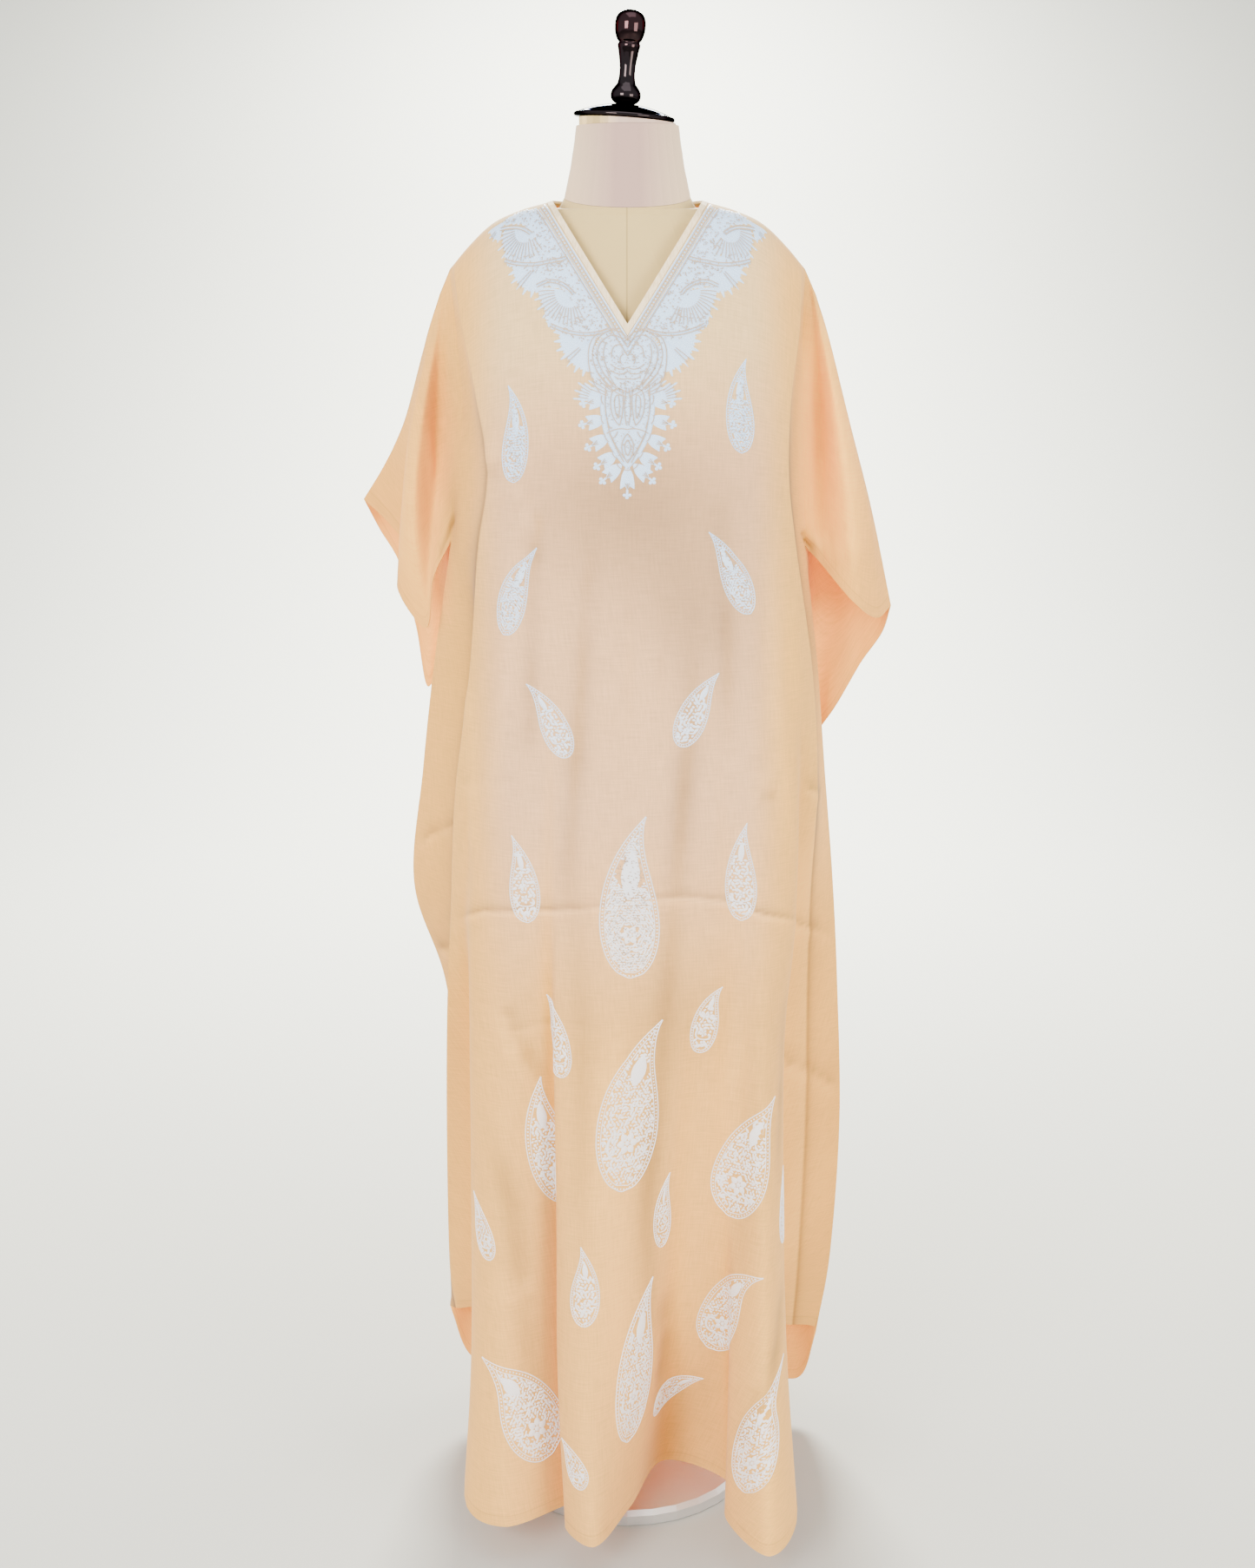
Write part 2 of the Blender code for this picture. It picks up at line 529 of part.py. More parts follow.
class Panel:
    """A sheet of cloth as points and quads, with its seams, made into a closed wall."""

    def __init__(self, rows, columns):
        self.rows = rows
        self.columns = columns
        self.points = []
        self.ids = {}
        for number, row in enumerate(rows):
            self.add_row(number, row)
        self.points = np.array(self.points)
        self.faces = self.make_faces()

    def add_row(self, number, row):
        """Number the points of one row; the second copy of the middle column is keyed apart."""
        column = row["offset"]
        for half, points in enumerate(row["halves"]):
            for index, point in enumerate(points):
                key = (number, column + index, half)
                self.ids[key] = len(self.points)
                self.points.append(point)
            column += len(points) - 1

    def vertex(self, number, column, right_side):
        """Vertex at a row and column, on the named side of a split middle column."""
        half = 0
        if self.rows[number]["split"]:
            middle = self.columns["middle"]
            half = 1 if column > middle or column == middle and right_side else 0
        return self.ids.get((number, column, half))

    def make_faces(self):
        """Quads between neighbouring rows and columns."""
        total = self.columns["left"] + self.columns["body"] + self.columns["right"]
        faces = []
        for number in range(len(self.rows) - 1):
            for column in range(total):
                right_side = column >= self.columns["middle"]
                corners = [self.vertex(number + down, column + along, right_side)
                           for down, along in ((0, 0), (0, 1), (1, 1), (1, 0))]
                if None not in corners:
                    faces.append(corners)
        return faces

    def normals(self, outward_y):
        """Unit normals at the points, on the side of outward_y."""
        quads = self.points[np.array(self.faces)]
        normal = np.cross(quads[:, 2] - quads[:, 0], quads[:, 3] - quads[:, 1])
        result = np.zeros_like(self.points)
        for corner in range(4):
            np.add.at(result, np.array(self.faces)[:, corner], normal)
        if np.sign(normal[:, 1].sum()) != np.sign(outward_y):
            result = -result
            self.faces = [face[::-1] for face in self.faces]
        return result / np.linalg.norm(result, axis=1)[:, None]

    def shoulder_seam(self, neck_half):
        """The two runs of vertices from the cuffs up the sleeve edges and in to the neck."""
        total = self.columns["left"] + self.columns["body"] + self.columns["right"]
        sleeve_rows = range(self.underarm_number(), 0, -1)
        runs = []
        for column, columns, right_side in ((0, range(0, self.columns["middle"] + 1), False),
                                            (total, range(total, self.columns["middle"] - 1, -1), True)):
            run = [self.vertex(number, column, right_side) for number in sleeve_rows]
            top = [self.vertex(0, place, right_side) for place in columns]
            run += [vertex for vertex in top if abs(self.points[vertex][0]) > neck_half - NEAR]
            runs.append(run)
        return runs

    def underarm_number(self):
        """Number of the row at the underarm."""
        return next(n for n, row in enumerate(self.rows) if row["row"] == UNDERARM_ROW)

    def side_seams(self):
        """The two runs of vertices down the side seams."""
        first = self.underarm_number()
        left = self.columns["left"]
        right = left + self.columns["body"]
        numbers = range(first, len(self.rows))
        return [[self.vertex(number, left, False) for number in numbers],
                [self.vertex(number, right, True) for number in numbers]]

    def prepare_seams(self, normals, outward_y, neck_half):
        """Draw seam edges back by half the gap and turn their walls square to the seam."""
        up = np.array((0.0, 0.0, 1.0))
        for run in self.shoulder_seam(neck_half):
            self.part_seam(run, normals, up, outward_y)
        for sign, run in zip((-1.0, 1.0), self.side_seams()):
            self.part_seam(run, normals, np.array((sign, 0.0, 0.0)), outward_y)
            self.part_underarm(run[0], normals, outward_y)

    def part_seam(self, run, normals, outward, outward_y):
        """Set one seam run's wall direction and its share of the gap."""
        line = self.points[run].copy()
        tangents = np.gradient(line, axis=0)
        tangents /= np.linalg.norm(tangents, axis=1)[:, None]
        wall = outward - (tangents @ outward)[:, None] * tangents
        wall /= np.linalg.norm(wall, axis=1)[:, None]
        aside = np.cross(tangents, wall)
        aside *= np.where(aside[:, 1] * outward_y > 0, 1.0, -1.0)[:, None]
        self.points[run] = line + aside * SEAM_GAP / 2
        normals[run] = wall

    def part_underarm(self, vertex, normals, outward_y):
        """Set the underarm corner's wall wholly on the panel's own side of the seam."""
        aside = np.array((0.0, math.copysign(1.0, outward_y), 0.0))
        self.points[vertex] += aside * CLOTH_WALL
        normals[vertex] = aside

    def boundary_edges(self):
        """Directed edges used by one face only."""
        used = {}
        for face in self.faces:
            for a, b in zip(face, face[1:] + face[:1]):
                used[(a, b)] = True
        return [edge for edge in used if (edge[1], edge[0]) not in used]

    def wall(self, normals):
        """Points and faces of the closed wall: the outer face, the inner face and the edges."""
        count = len(self.points)
        inner = self.points - normals * CLOTH_WALL
        faces = list(self.faces)
        faces += [[v + count for v in reversed(face)] for face in self.faces]
        faces += [[b, a, a + count, b + count] for a, b in self.boundary_edges()]
        return np.concatenate((self.points, inner)), faces


def make_material(name, colour, roughness, metallic=0.0):
    """A Principled material of one colour."""
    material = bpy.data.materials.new(name)
    material.use_nodes = True
    shader = material.node_tree.nodes["Principled BSDF"]
    shader.inputs["Base Color"].default_value = (*colour, 1.0)
    shader.inputs["Roughness"].default_value = roughness
    shader.inputs["Metallic"].default_value = metallic
    return material


def make_object(name, points, faces, material, sharp_angle=40.0):
    """An object from points in millimetres, smooth shaded."""
    mesh = bpy.data.meshes.new(name)
    mesh.from_pydata([tuple(float(c) * MM for c in point) for point in points], [], faces)
    mesh.validate()
    mesh.shade_smooth()
    mesh.set_sharp_from_angle(angle=math.radians(sharp_angle))
    mesh.materials.append(material)
    item = bpy.data.objects.new(name, mesh)
    bpy.context.scene.collection.objects.link(item)
    return item


def loft_rings(rings):
    """Points and faces of a closed stack of rings with flat ends."""
    sides = len(rings[0])
    points = [point for ring in rings for point in ring]
    faces = [list(range(sides))[::-1]]
    for level in range(len(rings) - 1):
        low = level * sides
        high = low + sides
        for side in range(sides):
            after = (side + 1) % sides
            faces.append([low + side, low + after, high + after, high + side])
    last = (len(rings) - 1) * sides
    faces.append([last + side for side in range(sides)])
    return points, faces


def oval_ring(height, half_width, front, back, tilt=0.0, roundness=2.0, sides=ROUND_SIDES):
    """A level oval, deeper or shallower in front than behind; tilt lifts its back."""
    ring = []
    for side in range(sides):
        angle = 2 * math.pi * side / sides
        c, s = math.cos(angle), math.sin(angle)
        x = half_width * math.copysign(abs(c) ** (2 / roundness), c)
        depth = back if s > 0 else front
        y = depth * math.copysign(abs(s) ** (2 / roundness), s)
        ring.append((x, y, height + tilt * y))
    return ring


def turned_piece(name, profile, material, foot, tilt=0.0):
    """A piece turned from a (radius, height) profile that starts and ends on its axis."""
    rings = [profile_point for profile_point in profile if profile_point[0] > 0]
    cos_tilt, sin_tilt = math.cos(tilt), math.sin(tilt)
    levels = []
    for radius, height in rings:
        ring = []
        for side in range(ROUND_SIDES):
            angle = 2 * math.pi * side / ROUND_SIDES
            x, y = radius * math.cos(angle), radius * math.sin(angle)
            ring.append((foot[0] + x * cos_tilt + height * sin_tilt, foot[1] + y,
                         foot[2] - x * sin_tilt + height * cos_tilt))
        levels.append(ring)
    points, faces = loft_rings(levels)
    return make_object(name, points, faces, material, 35.0)


def build_panel(name, lines, point, steps, layer, outward_y, has_v, material):
    """Build a panel's object and return the sheet for the pieces that follow its edge."""
    rows, columns = panel_rows(lines, point, steps, layer, ROWS, 1, has_v)
    panel = Panel(rows, columns)
    normals = panel.normals(outward_y)
    panel.prepare_seams(normals, outward_y, NECK_POINT_X)
    points, faces = panel.wall(normals)
    make_object(name, points, faces, material, 60.0)
    return panel, normals


def neck_edge(panel, normals, has_v):
    """Vertices and wall directions along a panel's neck edge, from left to right."""
    if has_v:
        last = ROWS.index(V_ROW)
        middle = panel.columns["middle"]
        left = [panel.vertex(n, middle, False) for n in range(last + 1)]
        right = [panel.vertex(n, middle, True) for n in range(last - 1, -1, -1)]
        run = left + right
    else:
        keys = sorted(key for key in panel.ids if key[0] == 0)
        run = [panel.ids[key] for key in keys
               if abs(panel.points[panel.ids[key]][0]) <= NECK_POINT_X + NEAR]
    return panel.points[run], normals[run]


def build_binding(front, back, material):
    """The neck binding: a folded strip that runs round the whole neck edge."""
    front_points, front_normals = neck_edge(*front, True)
    back_points, back_normals = neck_edge(*back, False)
    path = np.concatenate((front_points, back_points[::-1][1:-1]))
    walls = np.concatenate((front_normals, back_normals[::-1][1:-1]))
    count = len(path)
    following = np.roll(path, -1, axis=0) - path
    following /= np.linalg.norm(following, axis=1)[:, None]
    mean_wall = walls + np.roll(walls, -1, axis=0)
    inward = np.cross(mean_wall, following)
    centre = np.array((0.0, 0.0, NECK_POINT_Z))
    inward *= np.where(np.einsum("ij,ij->i", inward, centre - path) > 0, 1.0, -1.0)[:, None]
    inward /= np.linalg.norm(inward, axis=1)[:, None]
    previous = np.roll(inward, 1, axis=0)
    share = 1.0 + np.einsum("ij,ij->i", inward, previous)
    mitre = (inward + previous) / share[:, None]
    lift = (BINDING_THICKNESS - CLOTH_WALL) / 2
    outer_edge = path + mitre * SEAM_GAP
    inner_edge = path + mitre * (SEAM_GAP + BINDING_WIDTH)
    under = walls * (lift - BINDING_THICKNESS)
    corners = (outer_edge + walls * lift, inner_edge + walls * lift, inner_edge + under, outer_edge + under)
    points = np.concatenate(corners)
    faces = []
    for index in range(count):
        after = (index + 1) % count
        for side in range(4):
            turn = (side + 1) % 4
            faces.append([side * count + index, turn * count + index,
                          turn * count + after, side * count + after])
    if signed_volume(points, faces) < 0:
        faces = [face[::-1] for face in faces]
    make_object("neck_binding", points, faces, material, 30.0)


def signed_volume(points, faces):
    """Six times the volume inside the faces; positive where they point out."""
    total = 0.0
    for face in faces:
        for index in range(1, len(face) - 1):
            total += np.dot(points[face[0]], np.cross(points[face[index]], points[face[index + 1]]))
    return total


def torso_rings():
    """Rings of the torso from its foot to the neck seam."""
    rings = [oval_ring(*section, roundness=TORSO_ROUNDNESS) for section in TORSO]
    for half_width, front, back, tilt in SHOULDER_RINGS:
        height = CHEST_FORM.shoulder_height(half_width)
        run = (half_width - CHEST_FORM.half_width(height + SLOPE_STEP)) / SLOPE_STEP
        clearance = FORM_CLEARANCE / math.hypot(1.0, run)
        rings.append(oval_ring(height - clearance * run, half_width - clearance, front, back, tilt,
                               SHOULDER_ROUNDNESS))
    rings.append(oval_ring(*NECK_BASE, roundness=NECK_BASE_ROUNDNESS))
    rings.append(oval_ring(*NECK_SEAM))
    return rings


def build_form(cover, neck_cover, lacquer, brass, steel):
    """The dress form: torso, neck, cap, finial, pole and base."""
    make_object("form_torso", *loft_rings(torso_rings()), cover)

    neck = [oval_ring(NECK_SEAM_Z + NECK_SEAM_GAP, *NECK_SEAM[1:])]
    for height, half_width, front, back in NECK:
        tilt = NECK_SEAM_TILT * (NECK_TOP_Z - height) / (NECK_TOP_Z - NECK_SEAM_Z)
        neck.append(oval_ring(height, half_width, front, back, tilt))
    make_object("form_neck", *loft_rings(neck), neck_cover)

    seat_low = oval_ring(NECK_TOP_Z + SEAM_GAP, CAP_SEAT_RADIUS, CAP_SEAT_RADIUS, CAP_SEAT_RADIUS)
    seat_high = []
    for x, y, _ in seat_low:
        seat_high.append((x, y, CAP_Z - SEAM_GAP - (x - CAP_CENTRE_X) * math.tan(CAP_TILT)))
    make_object("form_cap_seat", *loft_rings([seat_low, seat_high]), brass)

    foot = (CAP_CENTRE_X, 0.0, CAP_Z)
    turned_piece("form_cap", CAP_PROFILE, lacquer, foot, CAP_TILT)
    rise = CAP_PROFILE[-1][1] + SEAM_GAP
    finial_foot = (foot[0] + rise * math.sin(CAP_TILT), 0.0, foot[2] + rise * math.cos(CAP_TILT))
    turned_piece("form_finial", FINIAL_PROFILE, lacquer, finial_foot, CAP_TILT)

    pole_foot = BASE_THICKNESS + COLLAR_HEIGHT + SEAM_GAP
    pole_top = FORM_BOTTOM_Z - SEAM_GAP
    length = pole_top - pole_foot
    pole_profile = [(0, 0), (POLE_RADIUS, 0)]
    pole_profile += [(radius, length - below) for radius, below in POLE_FLANGE]
    pole_profile.append((0, length))
    turned_piece("form_pole", pole_profile, steel, (0.0, 0.0, pole_foot))
    turned_piece("form_base", BASE_PROFILE, steel, (0.0, 0.0, 0.0))


def clear_scene():
    """Remove what the file holds before the model is built."""
    for item in list(bpy.data.objects):
        bpy.data.objects.remove(item, do_unlink=True)


def main():
    """Build the kaftan and its form."""
    clear_scene()
    crepe = make_material("peach_crepe", (0.77, 0.62, 0.44), 0.85)
    binding = make_material("binding_crepe", (0.80, 0.66, 0.48), 0.85)
    cover = make_material("form_jersey", (0.73, 0.66, 0.44), 0.8)
    neck_cover = make_material("form_neck_cloth", (0.72, 0.62, 0.54), 0.8)
    lacquer = make_material("black_lacquer", (0.012, 0.006, 0.006), 0.08)
    brass = make_material("cream_band", (0.70, 0.55, 0.30), 0.4)
    steel = make_material("satin_steel", (0.62, 0.62, 0.62), 0.3, 1.0)

    front = build_panel("kaftan_front", FRONT_LINES, front_point, FRONT_STEPS, "front", -1.0, True, crepe)
    back = build_panel("kaftan_back", BACK_LINES, back_point, BACK_STEPS, "back", 1.0, False, crepe)
    build_binding(front, back, binding)
    build_form(cover, neck_cover, lacquer, brass, steel)


main()
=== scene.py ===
"""Looks of a long embroidered kaftan worn by a limbless dress form.

The two cloth panels are laid through the same fold lines as the solids, in finer steps and with
their creases. The embroidery is drawn in the flat cloth's own sizes and follows it into the folds.
Sizes in the tables are millimetres; flat places are (across from the centre front, height).
"""

import json
import logging
import math
from collections.abc import Iterable, Sequence
from dataclasses import dataclass, field
from enum import Enum

import bpy
import numpy as np
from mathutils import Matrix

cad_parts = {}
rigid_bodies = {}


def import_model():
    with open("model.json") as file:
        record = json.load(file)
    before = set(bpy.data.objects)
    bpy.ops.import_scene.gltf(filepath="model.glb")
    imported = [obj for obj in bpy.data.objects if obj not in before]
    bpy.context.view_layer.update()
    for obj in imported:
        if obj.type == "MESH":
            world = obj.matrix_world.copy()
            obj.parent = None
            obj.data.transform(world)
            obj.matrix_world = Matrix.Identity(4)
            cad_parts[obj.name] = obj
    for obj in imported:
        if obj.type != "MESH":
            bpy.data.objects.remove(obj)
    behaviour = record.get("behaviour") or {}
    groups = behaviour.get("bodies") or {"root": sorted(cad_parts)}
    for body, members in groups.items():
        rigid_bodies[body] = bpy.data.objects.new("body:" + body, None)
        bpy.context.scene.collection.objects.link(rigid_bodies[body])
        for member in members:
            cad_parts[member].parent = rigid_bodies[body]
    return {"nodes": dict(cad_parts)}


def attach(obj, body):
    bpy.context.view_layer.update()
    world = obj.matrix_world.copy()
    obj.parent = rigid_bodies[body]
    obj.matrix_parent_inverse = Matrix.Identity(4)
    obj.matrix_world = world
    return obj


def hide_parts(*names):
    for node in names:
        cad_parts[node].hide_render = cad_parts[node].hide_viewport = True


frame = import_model()

logging.basicConfig(level=logging.INFO, format="%(message)s")
LOG = logging.getLogger("kaftan")

Point = tuple[float, float]
Span = tuple[float, float]
Place = tuple[float, float, float]
Curve = tuple[Point, Point, Point]
Tree = bpy.types.NodeTree
Socket = bpy.types.NodeSocket
MM = 0.001


class Side(Enum):
    """Side of the garment as its front is seen."""

    LEFT = -1
    RIGHT = 1


class Layer(Enum):
    """Which of the two panels."""

    FRONT = "front"
    BACK = "back"


class Crest(Enum):
    """Whether a crease stands out of the cloth or sinks into it."""

    RIDGE = 1
    TROUGH = -1


class Fill(Enum):
    """How the inside of a paisley is worked."""

    SATIN = "close satin stitches"
    SPRAY = "open sprays of leaves"


# Driving sizes of the kaftan, in millimetres
CLOTH_THICKNESS = 0.9
SEAM_GAP = 0.3
NECK_POINT_X = 84.0
NECK_POINT_Z = 1466.0
BACK_NECK_DIP = 6.0
V_ROW = 1.5
UNDERARM_Z = 1112.0
HEM_Z = 50.0
UNDERARM_ROW = 4
HEM_ROW = 11
HEM_DEPTH = 12.0
# Distance from an edge over which a tone's blue value goes from 0 to 1
EDGE_SPAN = 50.0
# Brightest value that the painted light and shade in a tone may carry
TONE_HEADROOM = 1.25
SECTION_HEIGHTS = (980.0, 850.0, 710.0, 580.0, 400.0, 220.0, HEM_Z)

# The cloth over chest and shoulder blades. Columns: height, half_width, front, back
CHEST = (
    (1466, 80, 58, 72),
    (1456, 115, 70, 80),
    (1443, 142, 78, 88),
    (1421, 166, 86, 95),
    (1398, 186, 94, 101),
    (1346, 196, 108, 110),
    (1300, 200, 119, 115),
    (1210, 203, 131, 118),
    (UNDERARM_Z, 206, 136, 118),
)
SHOULDER_ROWS = 5
SHOULDER_SAMPLES = 240
CHEST_ROUNDNESS = 2.2
SIDE_DRAW_IN = 4.0
FOLD_RADIUS = 5.0
FOLD_ROW = 0.2

# Body lines at shoulder, yoke, chest, bust and underarm
ARM_LINE = {
    Side.LEFT: ((-186, 0, 1398), (-178, -24, 1325), (-173, -28, 1252), (-182, -27, 1186),
                (-189, -20, 1116)),
    Side.RIGHT: ((186, 0, 1398), (184, -10, 1325), (186, -14, 1248), (189, -14, 1176), (191, -12, 1110)),
}
BACK_ARM_LINE = {
    Side.LEFT: ((-186, 0, 1398), (-192, 52, 1325), (-196, 66, 1252), (-196, 46, 1186), (-189, -20, 1116)),
    Side.RIGHT: ((186, 0, 1398), (192, 52, 1325), (197, 66, 1248), (198, 48, 1178), (191, -12, 1110)),
}
FOLD_X = {Side.LEFT: (-180, -170, -155, -143, -155), Side.RIGHT: (180, 177, 168, 167, 177)}
NECK_ACROSS = NECK_POINT_X / ARM_LINE[Side.RIGHT][0][0]
SLEEVE_EDGE = {
    Side.LEFT: ((-197.5, 0, 1372), (-215, 8, 1318), (-240, 40, 1242), (-266, 62, 1192), (-293, 70, 1150)),
    Side.RIGHT: ((198, 0, 1372), (214.5, 2, 1322), (238, 4, 1238), (264, 7, 1146), (289, 12, 1040)),
}
# Sleeve lines from the arm line outwards, at yoke, chest, bust and cuff
SLEEVES = {
    (Side.LEFT, Layer.FRONT): (
        ((-196, -11, 1323), (-203, 6, 1240), (-206, 2, 1165), (-209, -24, 1076)),
        ((-203, -13, 1322), (-219, -20, 1234), (-228, -26, 1140), (-219, -14, 1020)),
        ((-209, -10, 1321), (-230, -14, 1236), (-242, -14, 1146), (-251, 2, 1062)),
        ((-213, -5, 1320), (-230, 20, 1238), (-238, 36, 1162), (-240, 42, 1092)),
        ((-215, 1, 1319), (-235, 31, 1240), (-252, 50, 1178), (-262, 58, 1122)),
    ),
    (Side.LEFT, Layer.BACK): (
        ((-203, 44, 1322), (-211, 76, 1240), (-214, 68, 1150), (-207, 58, 990)),
        ((-209, 37, 1321), (-220, 84, 1238), (-222, 82, 1120), (-224, 48, 942)),
        ((-214, 26, 1320), (-234, 78, 1240), (-242, 94, 1140), (-238, 66, 1010)),
        ((-216, 17, 1319), (-241, 62, 1241), (-260, 92, 1168), (-258, 92, 1078)),
        ((-216, 12, 1318.5), (-242, 50, 1241.5), (-267, 78, 1184), (-280, 92, 1116)),
    ),
    (Side.RIGHT, Layer.FRONT): (
        ((197, -5, 1323), (206, 4, 1240), (207, 0, 1165), (207, -10, 1092)),
        ((206, -12, 1324), (224, -24, 1235), (238, -30, 1140), (244, -27, 1050)),
        ((212, -7, 1326), (235, -12, 1237), (259, -14, 1138), (272, -8, 1030)),
    ),
    (Side.RIGHT, Layer.BACK): (
        ((203, 44, 1322), (212, 68, 1240), (216, 66, 1130), (214, 60, 890)),
        ((208, 34, 1323), (224, 66, 1228), (236, 72, 1110), (227, 52, 906)),
        ((213, 20, 1325), (236, 42, 1232), (260, 50, 1120), (262, 58, 966)),
        ((214, 11, 1326), (239, 22, 1235), (266, 28, 1132), (284, 44, 1004)),
    ),
}
SLEEVE_STEPS = {
    (Side.LEFT, Layer.FRONT): (3, 3, 3, 3, 2, 2),
    (Side.LEFT, Layer.BACK): (3, 3, 3, 2, 2, 2),
    (Side.RIGHT, Layer.FRONT): (3, 4, 3, 3),
    (Side.RIGHT, Layer.BACK): (3, 3, 3, 2, 2),
}


@dataclass(frozen=True)
class FoldLine:
    """A line of the cloth that runs from the shoulder to the hem.

    Attributes:
        name: what the line is.
        across: where it lies above the underarm, from the neck edge (0) to the side fold (1).
        places: (x, y) at waist, hip, seat, thigh, knee, shin and hem.
        hem: height of the hem at the line.
        shadow: where the cloth is pressed over, how far its painted shadow reaches beyond; else 0.
    """

    name: str
    across: float | None
    places: tuple[Point, ...] = ()
    hem: float = HEM_Z
    shadow: float = 0.0

    @property
    def side(self) -> Side:
        """The side that the line's name gives."""
        return Side.LEFT if self.name.endswith("left") else Side.RIGHT

    @property
    def is_seam(self) -> bool:
        """Whether the line is a side seam."""
        return self.name.startswith("side_seam")

    def sections(self) -> list[Place]:
        """(x, y, z) of the line at the sections below the underarm."""
        heights = (*SECTION_HEIGHTS[:-1], self.hem)
        return [(x, y, z) for (x, y), z in zip(self.places, heights)]


SIDE_SEAM_LEFT = ((-213, 12), (-231, 32), (-246, 48), (-214, 70), (-200, 85), (-211, 100), (-222, 104))
SIDE_SEAM_RIGHT = ((209, 8), (223, 35), (238, 60), (248, 75), (257, 90), (251, 98), (237, 101))
FRONT_LINES = (
    FoldLine("side_seam_left", None, SIDE_SEAM_LEFT, 142),
    FoldLine("side_valley_left", None,
             ((-164, -40), (-184, -30), (-193, -20), (-189, 20), (-204, 60), (-217, 84), (-219, 92)), 147),
    FoldLine("side_fold_left", -1.0,
             ((-168, -80), (-186, -74), (-195, -60), (-204, -35), (-213, 22), (-217, 62), (-212, 78)), 152,
             26.0),
    FoldLine("lobe_valley_left", -0.9,
             ((-152, -98), (-168, -96), (-178, -80), (-172, -45), (-165, -5), (-163, 25), (-165, 45)), 166),
    FoldLine("lobe_edge_left", -0.8, ((-136, -112), (-150, -116), (-166, -118), (-170, -123), (-171, -138),
                                      (-173, -156), (-181, -184))),
    FoldLine("lobe_middle_left", -0.62, ((-108, -128), (-118, -134), (-128, -140), (-134, -152),
                                         (-136, -172), (-137, -192), (-136, -223))),
    FoldLine("pleat_valley", -0.44, ((-72, -136), (-78, -141), (-83, -146), (-80, -148), (-70, -148),
                                     (-66, -158), (-60, -180))),
    FoldLine("first_flute_edge", -0.38, ((-62, -138), (-68, -144), (-74, -151), (-78, -160), (-77, -174),
                                         (-77, -192), (-69, -224))),
    FoldLine("first_flute_crest", -0.18, ((-26, -143), (-30, -150), (-36, -158), (-42, -170), (-44, -192),
                                          (-44, -218), (-38, -260))),
    FoldLine("first_flute_flank", 0.0, ((14, -142), (20, -148), (26, -153), (30, -158), (23, -160),
                                        (20, -168), (2, -188))),
    FoldLine("trough", 0.3, ((58, -139), (66, -143), (70, -144), (68, -141), (60, -134), (54, -120),
                             (44, -93))),
    FoldLine("second_flute_valley", 0.5, ((92, -133), (100, -136), (105, -137), (106, -136), (106, -137),
                                          (112, -136), (117, -140))),
    FoldLine("second_flute_edge", 0.57, ((104, -130), (112, -134), (118, -136), (121, -140), (120, -148),
                                         (115, -163), (109, -206))),
    FoldLine("second_flute_crest", 0.7, ((130, -122), (142, -127), (148, -134), (148, -147), (149, -168),
                                         (151, -203), (153, -276))),
    FoldLine("lobe_edge_right", 0.84, ((166, -98), (180, -98), (181, -100), (172, -108), (173, -122),
                                       (178, -152), (188, -212))),
    FoldLine("lobe_valley_right", 0.92,
             ((183, -84), (187, -66), (178, -22), (166, 2), (160, 22), (161, 36), (164, 50)), 145),
    FoldLine("side_fold_right", 1.0,
             ((198, -62), (208, -42), (207, 12), (208, 42), (211, 62), (207, 72), (203, 80)), 128, 8.0),
    FoldLine("side_valley_right", None,
             ((199, -28), (213, -5), (226, 40), (233, 62), (239, 80), (233, 88), (223, 94)), 120),
    FoldLine("side_seam_right", None, SIDE_SEAM_RIGHT, 113),
)
FRONT_STEPS = (3, 2, 3, 3, 3, 3, 2, 2, 3, 3, 3, 2, 3, 3, 3, 3, 2, 3)
BACK_LINES = (
    FoldLine("side_seam_left", -1.0, SIDE_SEAM_LEFT, 142),
    FoldLine("back_side_left", -0.85,
             ((-190, 74), (-202, 92), (-212, 104), (-198, 118), (-186, 134), (-190, 138), (-197, 104)), 72),
    FoldLine("back_valley_left", -0.65,
             ((-148, 108), (-154, 118), (-158, 128), (-156, 134), (-152, 138), (-150, 132),
              (-152, 106)), 52),
    FoldLine("back_fold_left", -NECK_ACROSS, ((-100, 122), (-104, 132), (-106, 141), (-108, 152),
                                              (-110, 166), (-112, 180), (-114, 198))),
    FoldLine("back_trough_left", -0.22, ((-48, 122), (-50, 128), (-52, 132), (-54, 136), (-54, 138),
                                         (-52, 138), (-50, 132))),
    FoldLine("back_crest", 0.0, ((0, 125), (0, 132), (0, 140), (2, 150), (4, 164), (6, 180), (8, 204))),
    FoldLine("back_trough_right", 0.22, ((48, 122), (50, 128), (54, 132), (58, 136), (60, 138), (60, 136),
                                         (58, 130))),
    FoldLine("back_fold_right", NECK_ACROSS, ((100, 122), (104, 132), (108, 142), (112, 152), (114, 166),
                                              (116, 180), (118, 200))),
    FoldLine("back_valley_right", 0.65, ((148, 108), (154, 120), (160, 130), (164, 136), (166, 142),
                                         (166, 136), (164, 114))),
    FoldLine("back_side_right", 0.85,
             ((190, 70), (203, 92), (214, 110), (218, 124), (222, 138), (219, 134), (215, 96)), 46),
    FoldLine("side_seam_right", 1.0, SIDE_SEAM_RIGHT, 113),
)
BACK_STEPS = (3, 3, 3, 3, 3, 3, 3, 3, 3, 3)


def linear(colour: str) -> tuple[float, float, float, float]:
    """The linear RGBA of a hex sRGB colour.

    Args:
        colour: the colour as #RRGGBB.

    Returns:
        Red, green, blue and alpha.
    """
    channels = []
    for start in (1, 3, 5):
        value = int(colour[start:start + 2], 16) / 255
        channels.append(value / 12.92 if value <= 0.04045 else ((value + 0.055) / 1.055) ** 2.4)
    return (*channels, 1.0)


